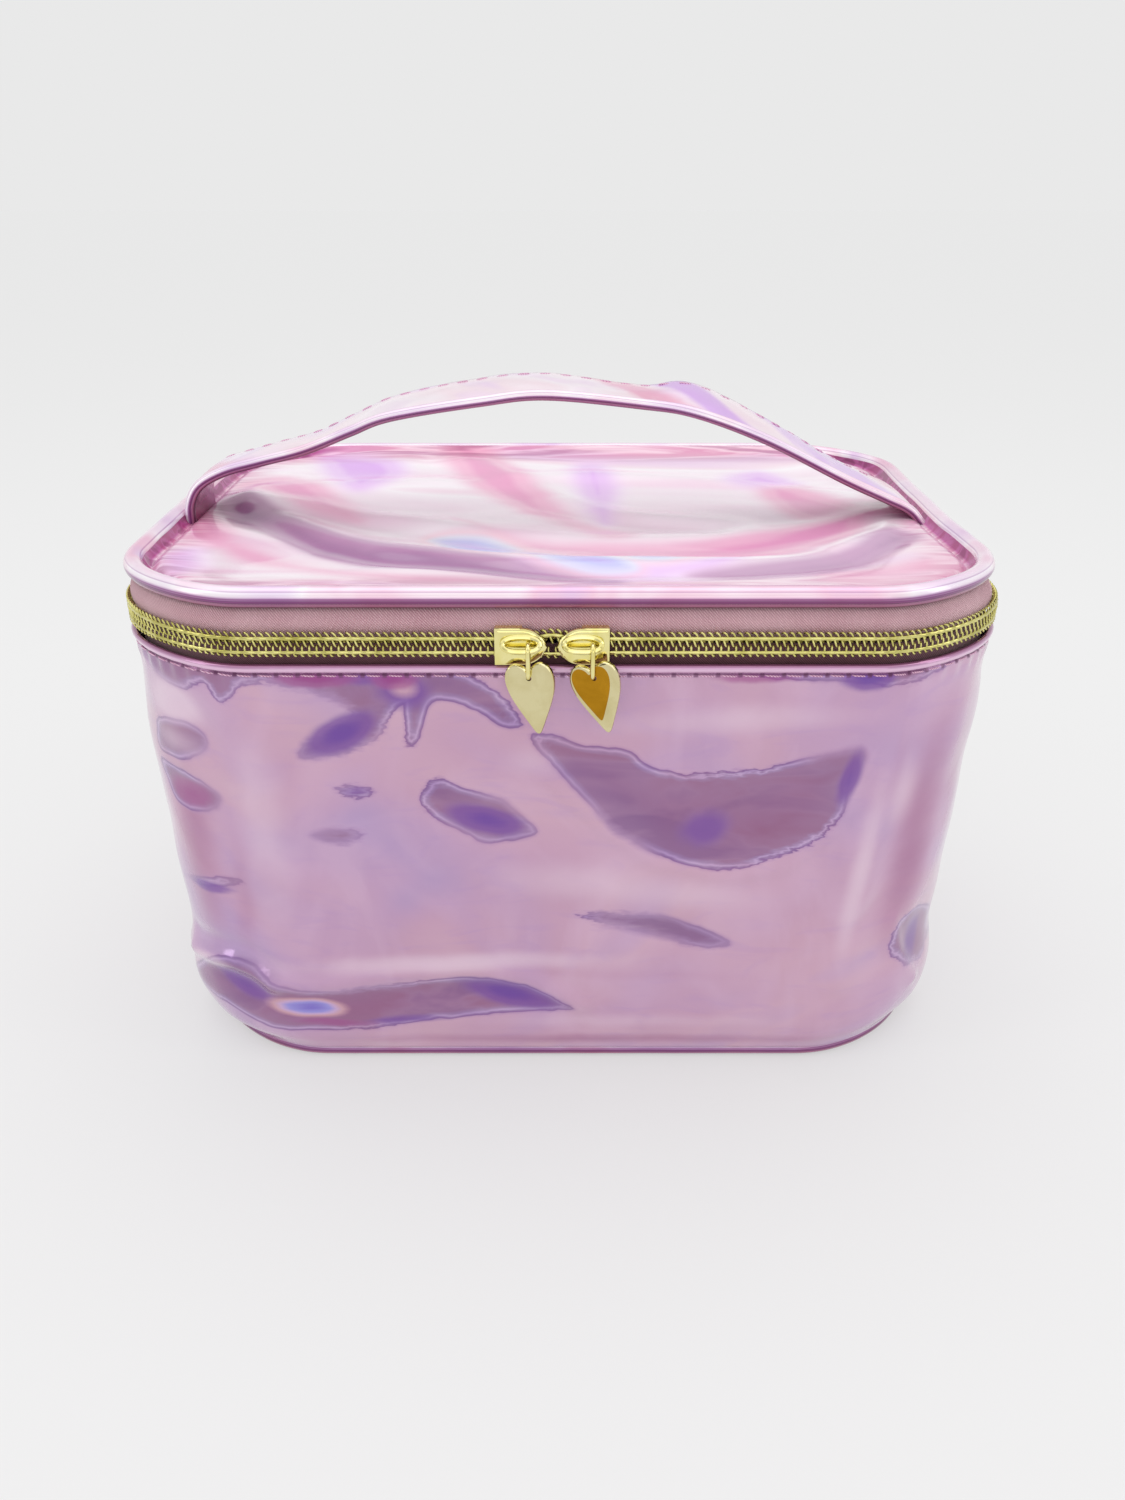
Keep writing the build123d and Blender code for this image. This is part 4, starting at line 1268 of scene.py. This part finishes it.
def capsule(centre, along, out, length, thick):
    """A stitch: a short rounded thread that dips at both ends."""
    t = np.linspace(-1, 1, 7)
    sink = 0.45 * thick * t**4
    centre, along, out = np.array(centre), np.array(along), np.array(out)
    path = [centre + along * length / 2 * k - out * d * 2 for k, d in zip(t, sink)]
    radius = thick / 2 * np.sqrt(np.clip(1.04 - t**4, 0.05, 1))
    return tube(path, radius, 6, up=out)


def make_hem_stitches(materials):
    """Thin stitches under the rolled rim, one between each two holes."""
    z = HEM_STITCH_Z
    width, depth, radius = wall_size(z)
    x, y, nx, ny = RIM.points(width, depth, radius)
    length = np.concatenate([RIM.length, [RIM.total]])
    out_by = wall_bulge(RIM.s, np.full(RIM.count, z))
    closed = [np.concatenate([a, a[:1]]) for a in (x, y, nx, ny, out_by)]
    parts = []
    for k in range(HEM_COUNT):
        at = (k + 0.5) * RIM.total / HEM_COUNT
        px, py, ax, ay, more = (np.interp(at, length, a) for a in closed)
        out = np.array((ax, ay, 0.0))
        along = np.array((-ay, ax, -0.06))
        centre = np.array((px, py, z)) + out * (more + 0.02)
        parts.append(capsule(centre, along, out, STITCH_LENGTH, HEM_THREAD))
    stitches = joined("hem_stitch_row", parts, materials["thread"])
    finish_piece(stitches, "body", "thread", "hem_stitches")


def make_bindings(materials):
    lower = [
        (3.6, 118.6), (3.55, 120.6), (3.75, 121.7), (4.4, 122.05), (5.05, 121.7), (5.3, 120.6),
        (5.25, 118.6), (4.45, 118.9),
    ]
    ring = sweep_rim("body_binding_ribbon", lower, materials["binding"], RIM, 0.15)
    finish_piece(ring, "body", "binding", "body_binding")
    upper = [
        (3.2, 133.4), (3.3, 132.2), (4.0, 131.7), (5.2, 131.6), (6.6, 132.0), (7.4, 132.9),
        (6.2, 133.3), (4.5, 133.5),
    ]
    ring = sweep_rim("lid_binding_ribbon", upper, materials["binding"], RIM, 0.12)
    finish_piece(ring, "lid", "binding", "lid_binding")


def make_hinge(materials):
    """Strip across the back where the zipper stops. On the case half of it turns with the lid; here it is
    one piece, attached to neither the lid nor the body.
    """
    up = np.linspace(0, 1, 26)
    bow = np.sin(math.pi * np.clip((up - 0.4) / 0.6, 0, 1))
    inset = 2.5 + 0.9 * np.clip(1 - up * 2.3, 0, 1) + 0.35 * bow
    line = np.stack([inset, 112.5 + 22.3 * up], 1)
    section = ribbon_profile(line, 0.6)
    strip = sweep_rim("hinge_strip_skin", section, materials["strap"], FINE_RIM, 0.0, behind_zip)
    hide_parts("hinge_strip_lower", "hinge_strip_upper")
    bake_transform(strip)


# ---------------------------------------------------------------- lid

LID_EDGE = 3.8
MAUVE_FOLD = (
    (-98, 7), (-83, -3), (-70, -16), (-56, -27), (-42, -36), (-28, -42), (-14, -48), (2, -53), (28, -53),
    (43, -51), (57, -47), (72, -39), (88, -25), (95, -14),
)
UPPER_FOLD = ((-95, 10), (-70, 10), (-45, 0), (-20, -14), (10, -22), (42, -20), (70, -10), (92, 0))
DIAGONAL = ((-34, 64), (-16, 44), (2, 18), (22, 0), (46, -8))
BACK_FOLD = ((-86, 22), (-60, 34), (-30, 38), (10, 44), (50, 36), (84, 18))


def rim_distance(x, y):
    """Distance in from the lid panel's edge."""
    width, depth, radius = CASE_W - 2 * LID_EDGE, CASE_D - 2 * LID_EDGE, CORNER_R - LID_EDGE
    qx = np.abs(x) - (width / 2 - radius)
    qy = np.abs(y) - (depth / 2 - radius)
    outside = np.hypot(np.maximum(qx, 0), np.maximum(qy, 0)) + np.minimum(np.maximum(qx, qy), 0)
    return radius - outside


def side_share(x):
    """1 at the lid's left and right, 0 along its front and back."""
    return fade(np.abs(x), 58, 92)


def lid_rise(x, y):
    """Height of the lid film over its lowest layer: rim crease, sag and long folds."""
    e = rim_distance(x, y)
    side = side_share(x)
    sag = -2.6 * fade(e, 6, 48)
    crease = -(0.1 + 1.5 * side) * np.exp(-(((e - 2.6) / 1.7) ** 2))
    lip = 2.0 * np.exp(-((e / (4.2 - 2.6 * side)) ** 2))
    folds = 1.5 * ridge(x, y - 6.5, MAUVE_FOLD, 6.0) - 1.3 * ridge(x, y + 4, MAUVE_FOLD, 5.0)
    folds += 1.0 * ridge(x, y, UPPER_FOLD, 6.0) - 0.8 * ridge(x, y + 9, UPPER_FOLD, 6.0)
    folds += 1.0 * ridge(x, y, DIAGONAL, 6.0) - 0.8 * ridge(x + 7, y + 5, DIAGONAL, 6.0)
    folds += 1.0 * ridge(x, y, BACK_FOLD, 6.0)
    ripples = 1.0 * smooth_noise(x / 46, y / 18, np.full_like(x, 1.5))
    ripples += 0.15 * smooth_noise(x / 20, y / 10, np.full_like(x, 7.5))
    return sag + crease + lip + (folds + ripples) * fade(e, 4, 16)


# Painted reflections on the lid, and the painted shade along its folds (mauve), as outlines (x, y)
LID_PINK_REFLECTIONS = [
    [(-40, 74), (-26, 74), (-14, 53), (-3, 25), (6, 1), (19, -18), (10, -22), (-3, -6), (-16, 15),
     (-31, 40)],
    [(-28, -2), (-12, -18), (3, -24), (25, -24), (47, -18), (67, -5), (86, 2), (82, -18),
     (59, -34), (37, -40),
     (16, -43), (3, -36), (-13, -24)],
    [(-98, 26), (-83, 38), (-62, 18), (-54, -3), (-70, 3), (-86, 14)],
    [(-91, -25), (-74, -34), (-58, -46), (-39, -55), (-21, -59), (-10, -63), (-28, -64),
     (-47, -60), (-64, -51),
     (-81, -42)],
    [(-103, -9), (-94, -4), (-84, -18), (-82, -36), (-90, -34), (-98, -23)],
    [(58, -52), (74, -49), (90, -44), (91, -53), (80, -60), (62, -61)],
    [(59, 38), (78, 20), (90, -4), (71, -9), (59, 9)],
]
LID_MAUVE_FOLD_SHADE = [
    [(-101, 18), (-86, 10), (-74, -2), (-59, -16), (-44, -26), (-31, -30), (-19, -38), (-8, -47),
     (3, -54), (13, -60),
     (10, -64), (-8, -60), (-24, -54), (-40, -46), (-55, -39), (-68, -29), (-80, -14), (-95, -3)],
    [(29, -55), (43, -49), (57, -43), (72, -34), (88, -20), (95, -26), (83, -37), (70, -47),
     (56, -53), (42, -57)],
]
LID_LILAC_REFLECTIONS = [
    [(-80, 66), (-54, 61), (-48, 42), (-58, 26), (-68, 33)],
    [(2, 53), (14, 55), (17, 25), (12, -6), (6, 15)],
    [(-11, -44), (9, -49), (30, -47), (44, -41), (36, -53), (16, -59), (-3, -56)],
    [(-98, -42), (-90, -36), (-86, -52), (-92, -58)],
    [(48, 40), (62, 50), (74, 34), (56, 30)],
]
LID_RAINBOW_REFLECTIONS = [
    [(-34, -17), (-21, -18), (-10, -30), (-16, -36), (-26, -31)],
    [(-12, -31), (1, -37), (12, -45), (17, -53), (6, -53), (-5, -45)],
    [(15, -38), (25, -36), (33, -41), (25, -48), (16, -47)],
]


def lid_level(outlines, reach=8.5):
    """0.5 on the outlines, rising inside to 1 and falling outside to 0 within the reach."""
    def level(x, y):
        depth = np.full(x.shape, -DEPTH_SPAN)
        for outline in outlines:
            depth = np.maximum(depth, outline_depth(x.copy(), y, outline))
        return 0.5 + 0.5 * np.clip(depth / reach, -1, 1)

    return level


def lid_front(x, y):
    """Share of fine streaks: along the lid's front edge."""
    return 1 - fade(rim_distance(x, y), 3, 18)


def lid_crease_shade(x, y):
    """Share of the painted shade in the crease beside the piping, at the lid's left and right."""
    e = rim_distance(x, y)
    side = fade(np.abs(x), 60, 92)
    return side * np.exp(-(((e - 1.4) / 1.2) ** 2))


def make_lid(materials):
    width, depth, radius = CASE_W - 2 * LID_EDGE, CASE_D - 2 * LID_EDGE, CORNER_R - LID_EDGE
    film = plate(
        "lid_film_skin", width, depth, radius, *LID_LAYERS["film"], materials["lid"], rise=lid_rise,
        steps=(210, 150), pink=lid_level(LID_PINK_REFLECTIONS), lilac=lid_level(LID_LILAC_REFLECTIONS), mauve=lid_level(LID_MAUVE_FOLD_SHADE),
        rainbow=lid_level(LID_RAINBOW_REFLECTIONS, 9.0), front=lid_front, crease=lid_crease_shade,
    )
    finish_piece(film, "lid", "film", "lid_film")

    def under_film(x, y):
        return np.minimum(lid_rise(x, y), 0.4) - 0.3

    inside = (width - 2, depth - 2, radius - 1)
    foam = plate("lid_foam_sheet", *inside, *LID_LAYERS["foam"], materials["foam"], rise=under_film)
    finish_piece(foam, "lid", "foam", "lid_foam")

    def under_foam(x, y):
        return under_film(x, y) * 0.8 + 0.2 * smooth_noise(x / 22, y / 22, np.full_like(x, 9.0))

    layer = LID_LAYERS["lining"]
    lining = plate("lid_lining_sheet", *inside, *layer, materials["lining"], rise=under_foam)
    finish_piece(lining, "lid", "lining", "lid_lining")

    profile = round_profile(PIPING_R, PIPING_Z, PIPING_R, 30, (-38, 9, 0.35))
    piping = sweep_rim("lid_piping_roll", profile, materials["piping"], FINE_RIM, 0.10)
    finish_piece(piping, "lid", "piping_film", "lid_piping")


# ---------------------------------------------------------------- handle

# Front rolled edge and back stitched edge of the strap, from left to right: x, y, z
FRONT_EDGE = [
    (-99.5, -9.0, 135.5), (-99.0, -9.2, 141.0), (-96.0, -9.2, 145.8), (-89.0, -9, 149.3),
    (-79.3, -9, 151.8),
    (-67.1, -9, 154.8), (-54.7, -9, 159.5), (-44.0, -9, 163.3), (-21.0, -9, 167.0),
    (-4.4, -9, 168.6), (19.8, -9, 166.4),
    (33.9, -9, 164.2), (52.0, -9, 157.8), (75.3, -9, 147.6), (88.0, -9.4, 142.6),
    (95.5, -9.6, 139.4), (99.5, -9.4, 135.5),
]
BACK_EDGE = [
    (-98.5, 9.0, 135.5), (-98.0, 9.0, 143.0), (-94.0, 9.2, 147.6), (-86.0, 9, 150.2), (-76.0, 9, 152.8),
    (-66.0, 9, 155.4), (-55.0, 9, 160.2), (-43.7, 9, 164.9), (-22.0, 9, 169.2), (-4.0, 9, 170.5),
    (20.5, 9, 167.4),
    (34.3, 9, 168.0), (53.5, 9, 159.4), (74.5, 9, 148.8), (87.0, 9.2, 143.6), (94.5, 9.2, 140.4),
    (98.5, 9.0, 135.5),
]


def strap_frame(count=190):
    """Matched points along both edges, and the direction up off the strap's face."""
    front, back = open_curve(FRONT_EDGE, 24), open_curve(BACK_EDGE, 24)
    middle = (front + back) / 2
    steps = np.linalg.norm(np.diff(middle, axis=0), axis=1)
    length = np.concatenate([[0], np.cumsum(steps)])
    even = np.linspace(0, length[-1], count)
    front = np.stack([np.interp(even, length, front[:, k]) for k in range(3)], 1)
    back = np.stack([np.interp(even, length, back[:, k]) for k in range(3)], 1)
    across = back - front
    along = np.gradient((front + back) / 2, axis=0)
    up = np.cross(along, across)
    up /= np.linalg.norm(up, axis=1)[:, None]
    return front, back, up, even


def strap_piece(name, outline, material, shade):
    """Strap layer: outline is a closed list of (share across from front to back, height off face)."""
    front, back, up, even = strap_frame()
    columns = []
    for share, lift in outline:
        ripple = 0.18 * smooth_noise(even / 7.0, np.full_like(even, share * 3), np.full_like(even, 5.0))
        columns.append(front + (back - front) * share + up * (lift + ripple)[:, None])
    grid = np.array(columns)
    rows, count = grid.shape[:2]
    faces = flipped(grid_faces(rows, count, False, True) + end_caps(rows, count))
    values = np.repeat(np.array([shade(share) for share, _ in outline]), count)
    lengths = np.tile(even, rows)
    shares = np.repeat(np.array([a * 18 for a, _ in outline]), count)
    rim_values = np.stack([lengths, shares, 0 * lengths], 1) * MM
    x = grid.reshape(-1, 3)[:, 0]
    # Painted lilac and pink reflection bands, slanting across the strap
    slant = x + 0.9 * grid.reshape(-1, 3)[:, 1]
    lilac = np.exp(-(((slant - 36) / 8) ** 2)) + 0.75 * fade(slant, 44, 66) * (1 - fade(slant, 80, 98))
    lilac += 0.4 * fade(-slant, 70, 92)
    pink = 0.85 * np.exp(-(((slant - 20) / 9) ** 2))
    pink += 0.7 * fade(-slant, 80, 100) + 0.8 * fade(slant, 80, 100)
    return make_object(
        name, grid.reshape(-1, 3), faces, material, around=values, rim=rim_values, lilac=lilac, pink=pink
    )


def blend_handle(made, slot, *nodes):
    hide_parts(*nodes)
    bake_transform(made)


def make_handle(materials):
    def crown(a):
        return 1.35 + 0.45 * math.sin(math.pi * a)

    def cover_shade(share):
        return 0.3 + 0.5 * (share > 0.1) + 0.2 * share

    shares = np.linspace(0.03, 1.0, 14)
    cover_outline = [(a, crown(a)) for a in shares] + [(1.035, 0.9), (1.03, 0.25)]
    cover_outline += [(a, crown(a) - 0.6) for a in shares[::-1]]
    cover = strap_piece("handle_strap_cover", cover_outline, materials["strap"], cover_shade)
    blend_handle(cover, "film", "handle_cover", "handle_tab_left", "handle_tab_right")
    core_outline = [(a, crown(a) - 0.75) for a in shares] + [(a, 0.15) for a in shares[::-1]]
    core = strap_piece("handle_strap_core", core_outline, materials["foam"], lambda share: 0.5)
    blend_handle(core, "foam", "handle_core")
    back_outline = [(a, 0.05) for a in shares] + [(a, -0.5) for a in shares[::-1]]
    # The backing underneath takes the strap film's painted shade
    backing = strap_piece("handle_strap_backing", back_outline, materials["strap"], lambda share: 0.1)
    blend_handle(backing, "film", "handle_backing")

    front, back, up, even = strap_frame()
    angles = np.linspace(0, 2 * math.pi, 20, endpoint=False)
    across = (back - front) / np.linalg.norm(back - front, axis=1)[:, None]
    rows, shade = [], []
    for angle in angles:
        r = 1.38 - 0.25 * math.exp(-(((math.degrees(angle) - 200) / 12) ** 2))
        out = -math.cos(angle) * r
        rows.append(front - across * out + up * (0.45 + math.sin(angle) * r))
        shade.append(0.5 + 0.5 * math.sin(angle))
    grid = np.array(rows)
    count = grid.shape[1]
    faces = flipped(grid_faces(len(angles), count, False, True) + end_caps(len(angles), count))
    around = np.repeat(shade, count)
    roll = make_object("handle_edge_roll", grid.reshape(-1, 3), faces, materials["piping"], around=around)
    blend_handle(roll, "piping_film", "handle_piping")

    parts = []
    length = even[-1]
    number = int((length - 26) / STITCH_PITCH)
    for k in range(number):
        at = 13 + (k + 0.5) * (length - 26) / number
        f = np.array([np.interp(at, even, front[:, i]) for i in range(3)])
        b = np.array([np.interp(at, even, back[:, i]) for i in range(3)])
        n = np.array([np.interp(at, even, up[:, i]) for i in range(3)])
        across_here = (b - f) / np.linalg.norm(b - f)
        along = np.cross(across_here, n)
        centre = f + (b - f) * 0.90 + n * (crown(0.90) - 0.02)
        slanted = along + 0.08 * across_here
        parts.append(capsule(centre, slanted, n, STITCH_LENGTH, STRAP_THREAD))
    stitches = joined("handle_stitch_row", parts, materials["thread"])
    blend_handle(stitches, "thread", "handle_stitches")


# ---------------------------------------------------------------- metal parts


HEART_HALF = [(0, -0.45), (0.55, 0.55), (1.5, 1.4), (2.9, 1.8), (4.3, 1.25), (5.3, -0.2), (5.6, -2.4),
              (5.1, -5.2), (3.9, -8.3), (2.2, -11.8), (0.75, -14.6), (0, -15.2)]
HEART_HOLE_R = 0.62
HEART_HALF_THICK = 0.65
HEART_LEAN = {"left": 9.0, "right": 15.0}
HEART_YAW = -13.0


def heart_outline():
    """The whole heart, clockwise from the notch."""
    right = open_curve(HEART_HALF)
    left = right[-2:0:-1] * np.array((-1, 1))
    return np.concatenate([right, left])


def pulled_in(outline, distance):
    """Outline moved inward along its normals."""
    along = np.roll(outline, -1, 0) - np.roll(outline, 1, 0)
    along /= np.linalg.norm(along, axis=1)[:, None]
    return outline + distance * np.stack([along[:, 1], -along[:, 0]], 1)


def ring_loop(bm, points, y):
    return [bm.verts.new((p[0], y, p[1])) for p in points]


def loop_edges(bm, loop):
    return [bm.edges.get((a, b)) or bm.edges.new((a, b)) for a, b in zip(loop, loop[1:] + loop[:1])]


def make_heart(side, x, materials):
    """Flat pull with a bevelled rim and a small hole under its notch."""
    outline = heart_outline()
    count = len(outline)
    turn = np.linspace(0, 2 * math.pi, 22, endpoint=False)
    hole = np.stack([HEART_HOLE_R * np.sin(turn), -RING_R + HEART_HOLE_R * np.cos(turn)], 1)
    half = HEART_HALF_THICK
    bm = bmesh.new()
    levels = ((0.30, -half), (0.10, -half + 0.10), (0.0, -half + 0.30), (0.0, half - 0.25), (0.2, half))
    loops = [ring_loop(bm, pulled_in(outline, inward), y) for inward, y in levels]
    for low, high in zip(loops, loops[1:]):
        for i in range(count):
            j = (i + 1) % count
            bm.faces.new((low[i], low[j], high[j], high[i]))
    holes = [ring_loop(bm, hole, y) for y in (-half, half)]
    for i in range(len(hole)):
        j = (i + 1) % len(hole)
        bm.faces.new((holes[0][j], holes[0][i], holes[1][i], holes[1][j]))
    back = loop_edges(bm, loops[-1]) + loop_edges(bm, holes[1])
    bmesh.ops.triangle_fill(bm, use_beauty=True, use_dissolve=False, edges=back)
    front = [(loops[0], holes[0])]
    if side == "right":
        # The deep amber painted reflection is a smaller heart towards the upper left of the face
        field = ring_loop(bm, pulled_in(outline, 0.30) * 0.80 + np.array((-0.80, 0.02)), -half)
        front = [(loops[0], field), (field, holes[0])]
    for k, (outside, inside) in enumerate(front):
        edges = loop_edges(bm, outside) + loop_edges(bm, inside)
        made = bmesh.ops.triangle_fill(bm, use_beauty=True, use_dissolve=False, edges=edges)
        for item in made["geom"]:
            if isinstance(item, bmesh.types.BMFace):
                item.material_index = 1 if side == "right" and k == 1 else 0
    bmesh.ops.recalc_face_normals(bm, faces=bm.faces)
    mesh = bpy.data.meshes.new(f"{side}_heart_pull")
    bm.to_mesh(mesh)
    bm.free()
    lean, yaw = math.radians(HEART_LEAN[side]), math.radians(HEART_YAW)
    for vertex in mesh.vertices:
        px, py, pz = vertex.co
        px, py = px * math.cos(yaw) - py * math.sin(yaw), px * math.sin(yaw) + py * math.cos(yaw)
        vertex.co = (
            (x + px * math.cos(lean) - pz * math.sin(lean)) * MM,
            (BAR_Y + py) * MM,
            (RING_LOW_Z + px * math.sin(lean) + pz * math.cos(lean)) * MM,
        )
    mesh.polygons.foreach_set("use_smooth", [True] * len(mesh.polygons))
    mesh.set_sharp_from_angle(angle=math.radians(18))
    mesh.materials.append(materials["heart"])
    mesh.materials.append(materials["amber_reflection"])
    made = bpy.data.objects.new(f"{side}_heart_pull", mesh)
    bpy.context.scene.collection.objects.link(made)
    finish_piece(made, f"{side}_heart", "gold", f"{side}_heart")


SLIDER_H = 8.4
TAIL_END = -SLIDER_L / 2
NOSE_END = SLIDER_L / 2
SHOULDER = 0.2


def slider_half_height(u):
    """Half height of the slider's plate: straight at the tail, then an almond nose."""
    t = np.clip((u - SHOULDER) / (NOSE_END - SHOULDER), 0, 1)
    return SLIDER_H / 2 * np.clip(1 - t**2.1, 0, 1) ** 0.72


def slider_plate(face, back, bevel, crown):
    """Almond plate between two depths, bevelled and slightly crowned on its face side."""
    u = np.concatenate([[0, 0.02, 0.05], np.linspace(0.1, 1, 30) ** 0.9])
    u = TAIL_END + (SLIDER_L - 0.05) * u
    v = np.array([-1, -0.97, -0.92, -0.84, -0.6, -0.3, 0, 0.3, 0.6, 0.84, 0.92, 0.97, 1])
    half = slider_half_height(u)
    height = v[:, None] * half[None, :]
    edge = np.minimum((1 - np.abs(v))[:, None] * half[None, :], (u - TAIL_END)[None, :])
    sink = bevel * np.exp(-((edge / 0.28) ** 2)) - crown * (1 - v[:, None] ** 2)
    toward = 1.0 if face < back else -1.0
    rows, columns = height.shape
    wide = np.repeat(u[None, :], rows, 0)
    front = np.stack([wide, face + toward * sink, height], 2).reshape(-1, 3)
    rear = np.stack([wide, np.full_like(height, back), height], 2).reshape(-1, 3)
    return np.concatenate([front, rear]), sheet_faces(rows, columns)


def slab(u0, u1, v0, v1, y0, y1, edge=0.18):
    """Small block with chamfered edges."""
    bm = bmesh.new()
    bmesh.ops.create_cube(bm, size=1.0)
    for vertex in bm.verts:
        px, py, pz = vertex.co
        vertex.co = (u0 + (px + 0.5) * (u1 - u0), y0 + (py + 0.5) * (y1 - y0), v0 + (pz + 0.5) * (v1 - v0))
    bmesh.ops.bevel(bm, geom=bm.edges[:], offset=edge, segments=2, affect="EDGES", profile=0.5)
    bm.verts.index_update()
    points = np.array([v.co[:] for v in bm.verts])
    faces = [tuple(v.index for v in f.verts) for f in bm.faces]
    bm.free()
    return points, faces


PLATE_FACE, PLATE_BACK = -77.0, -75.95
INNER_FACE, INNER_BACK = -71.1, -72.1
FLANGE_HEIGHTS = ((3.55, 4.25), (-4.25, -3.62))
FLANGE_DEPTH = (-76.2, -73.9)
POST_DEPTH = (-76.2, -71.9)


BRIDGE_STEPS = 44


def bridge_path():
    """Oval loop of the slider's bridge: its upper side lies on the plate, its lower side is the bar
    that the ring turns on, which stands clear of the plate."""
    out = []
    for k in range(BRIDGE_STEPS):
        angle = 2 * math.pi * k / BRIDGE_STEPS
        c, s = math.cos(angle), math.sin(angle)
        u = 4.05 * math.copysign(abs(c) ** 0.75, c)
        v = 1.15 + 1.35 * s
        lift = 0.5 - 0.5 * s
        y = PLATE_FACE + 0.15 + (BAR_Y - PLATE_FACE - 0.15) * lift**0.8
        out.append((u + 0.1, y, v - 0.2 * (1 - lift)))
    return np.array(out)


def make_slider(side, centre, toward_nose, materials):
    """Zipper slider: two almond plates, guide flanges, the post between them and the bridge."""
    parts = [slider_plate(PLATE_FACE, PLATE_BACK, 0.28, 0.12)]
    parts.append(slider_plate(INNER_FACE, INNER_BACK, 0.25, 0.1))
    for low, high in FLANGE_HEIGHTS:
        parts.append(slab(TAIL_END + 0.1, 0.3, low, high, *FLANGE_DEPTH))
    parts.append(slab(TAIL_END - 0.02, 0.0, 3.45, 4.42, -76.9, -75.6, 0.22))
    parts.append(slab(NOSE_END - 3.0, NOSE_END - 0.9, -0.32, 0.32, *POST_DEPTH, 0.1))
    turns = 2 * math.pi * np.arange(BRIDGE_STEPS) / BRIDGE_STEPS
    radius = 0.62 + 0.18 * np.maximum(np.sin(turns), 0.0)
    parts.append(tube(bridge_path(), radius, 10, closed=True, up=(0, -1.0, 0.25)))
    placed = []
    for points, faces in parts:
        points = np.asarray(points, float).copy()
        points[:, 0] = centre + toward_nose * points[:, 0]
        points[:, 2] += ZIP_Z
        placed.append((points, faces if toward_nose > 0 else flipped(faces)))
    slider = joined(f"{side}_slider_casting", placed, materials["gold"], 35.0)
    finish_piece(slider, f"{side}_slider", "gold", f"{side}_slider")


def paint_nodes(materials):
    for side in ("left", "right"):
        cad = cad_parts[f"{side}_ring"]
        cad.data.materials.clear()
        cad.data.materials.append(materials["gold"])


# ---------------------------------------------------------------- everything

TAPE_SHADE = ((0.0, 0.40), (0.12, 0.72), (0.35, 0.94), (0.60, 1.0), (0.86, 0.96), (1.0, 0.60))

make_camera()
make_studio()
MATERIALS = {
    "wall": film_wall_material(),
    "lid": film_lid_material(),
    "piping": film_piping_material(),
    "strap": film_strap_material(),
    "tape": woven_material("tape_weave", "#B27282", "#FFDCE2", 900.0, 0.0003, TAPE_SHADE),
    # The lower tape's weave is painted dark brown-pink as the shade it lies in under the coil
    "tape_in_shade": woven_material("tape_weave_in_shade", "#5E3540", "#8E5A68", 1100.0),
    "binding": woven_material("binding_weave", "#A66A80", "#D39DB2", 700.0),
    "lining": woven_material("lining_weave", "#C78BA4", "#E8BFD0", 520.0, 0.00012),
    "coil": gold_material("coil_gold", "#DDD68A", "#AEA650", (0.12, 0.26), 0.9),
    "gold": gold_material("polished_gold", "#F1E8A8", "#E3D67C", (0.06, 0.14)),
    "heart": gold_material("heart_gold", "#DCD2A4", "#CDC08C", (0.10, 0.20)),
    # Painted amber reflection on the right heart's face
    "amber_reflection": gold_material("amber_reflection_gold", "#B98517", "#A3730A", (0.08, 0.16), 0.85),
    "thread": thread_material(),
    "foam": plain_material("foam", "#E9E3E6", "#F7F3F5", (0.8, 0.95)),
    "board": plain_material("board", "#CFC9C6", "#DDD8D5", (0.55, 0.75)),
}
make_wall(MATERIALS)
make_base(MATERIALS)
make_tapes(MATERIALS)
make_coil("upper_coil_teeth", 1, "lid", "upper_zipper_coil", MATERIALS)
make_coil("lower_coil_teeth", -1, "body", "lower_zipper_coil", MATERIALS)
make_hem_stitches(MATERIALS)
make_bindings(MATERIALS)
make_hinge(MATERIALS)
make_lid(MATERIALS)
make_handle(MATERIALS)
for side, ring_x in zip(("left", "right"), RING_X):
    make_heart(side, ring_x, MATERIALS)
make_slider("left", MEET_X - SLIDER_GAP / 2 - SLIDER_L / 2, 1, MATERIALS)
make_slider("right", MEET_X + SLIDER_GAP / 2 + SLIDER_L / 2, -1, MATERIALS)
paint_nodes(MATERIALS)
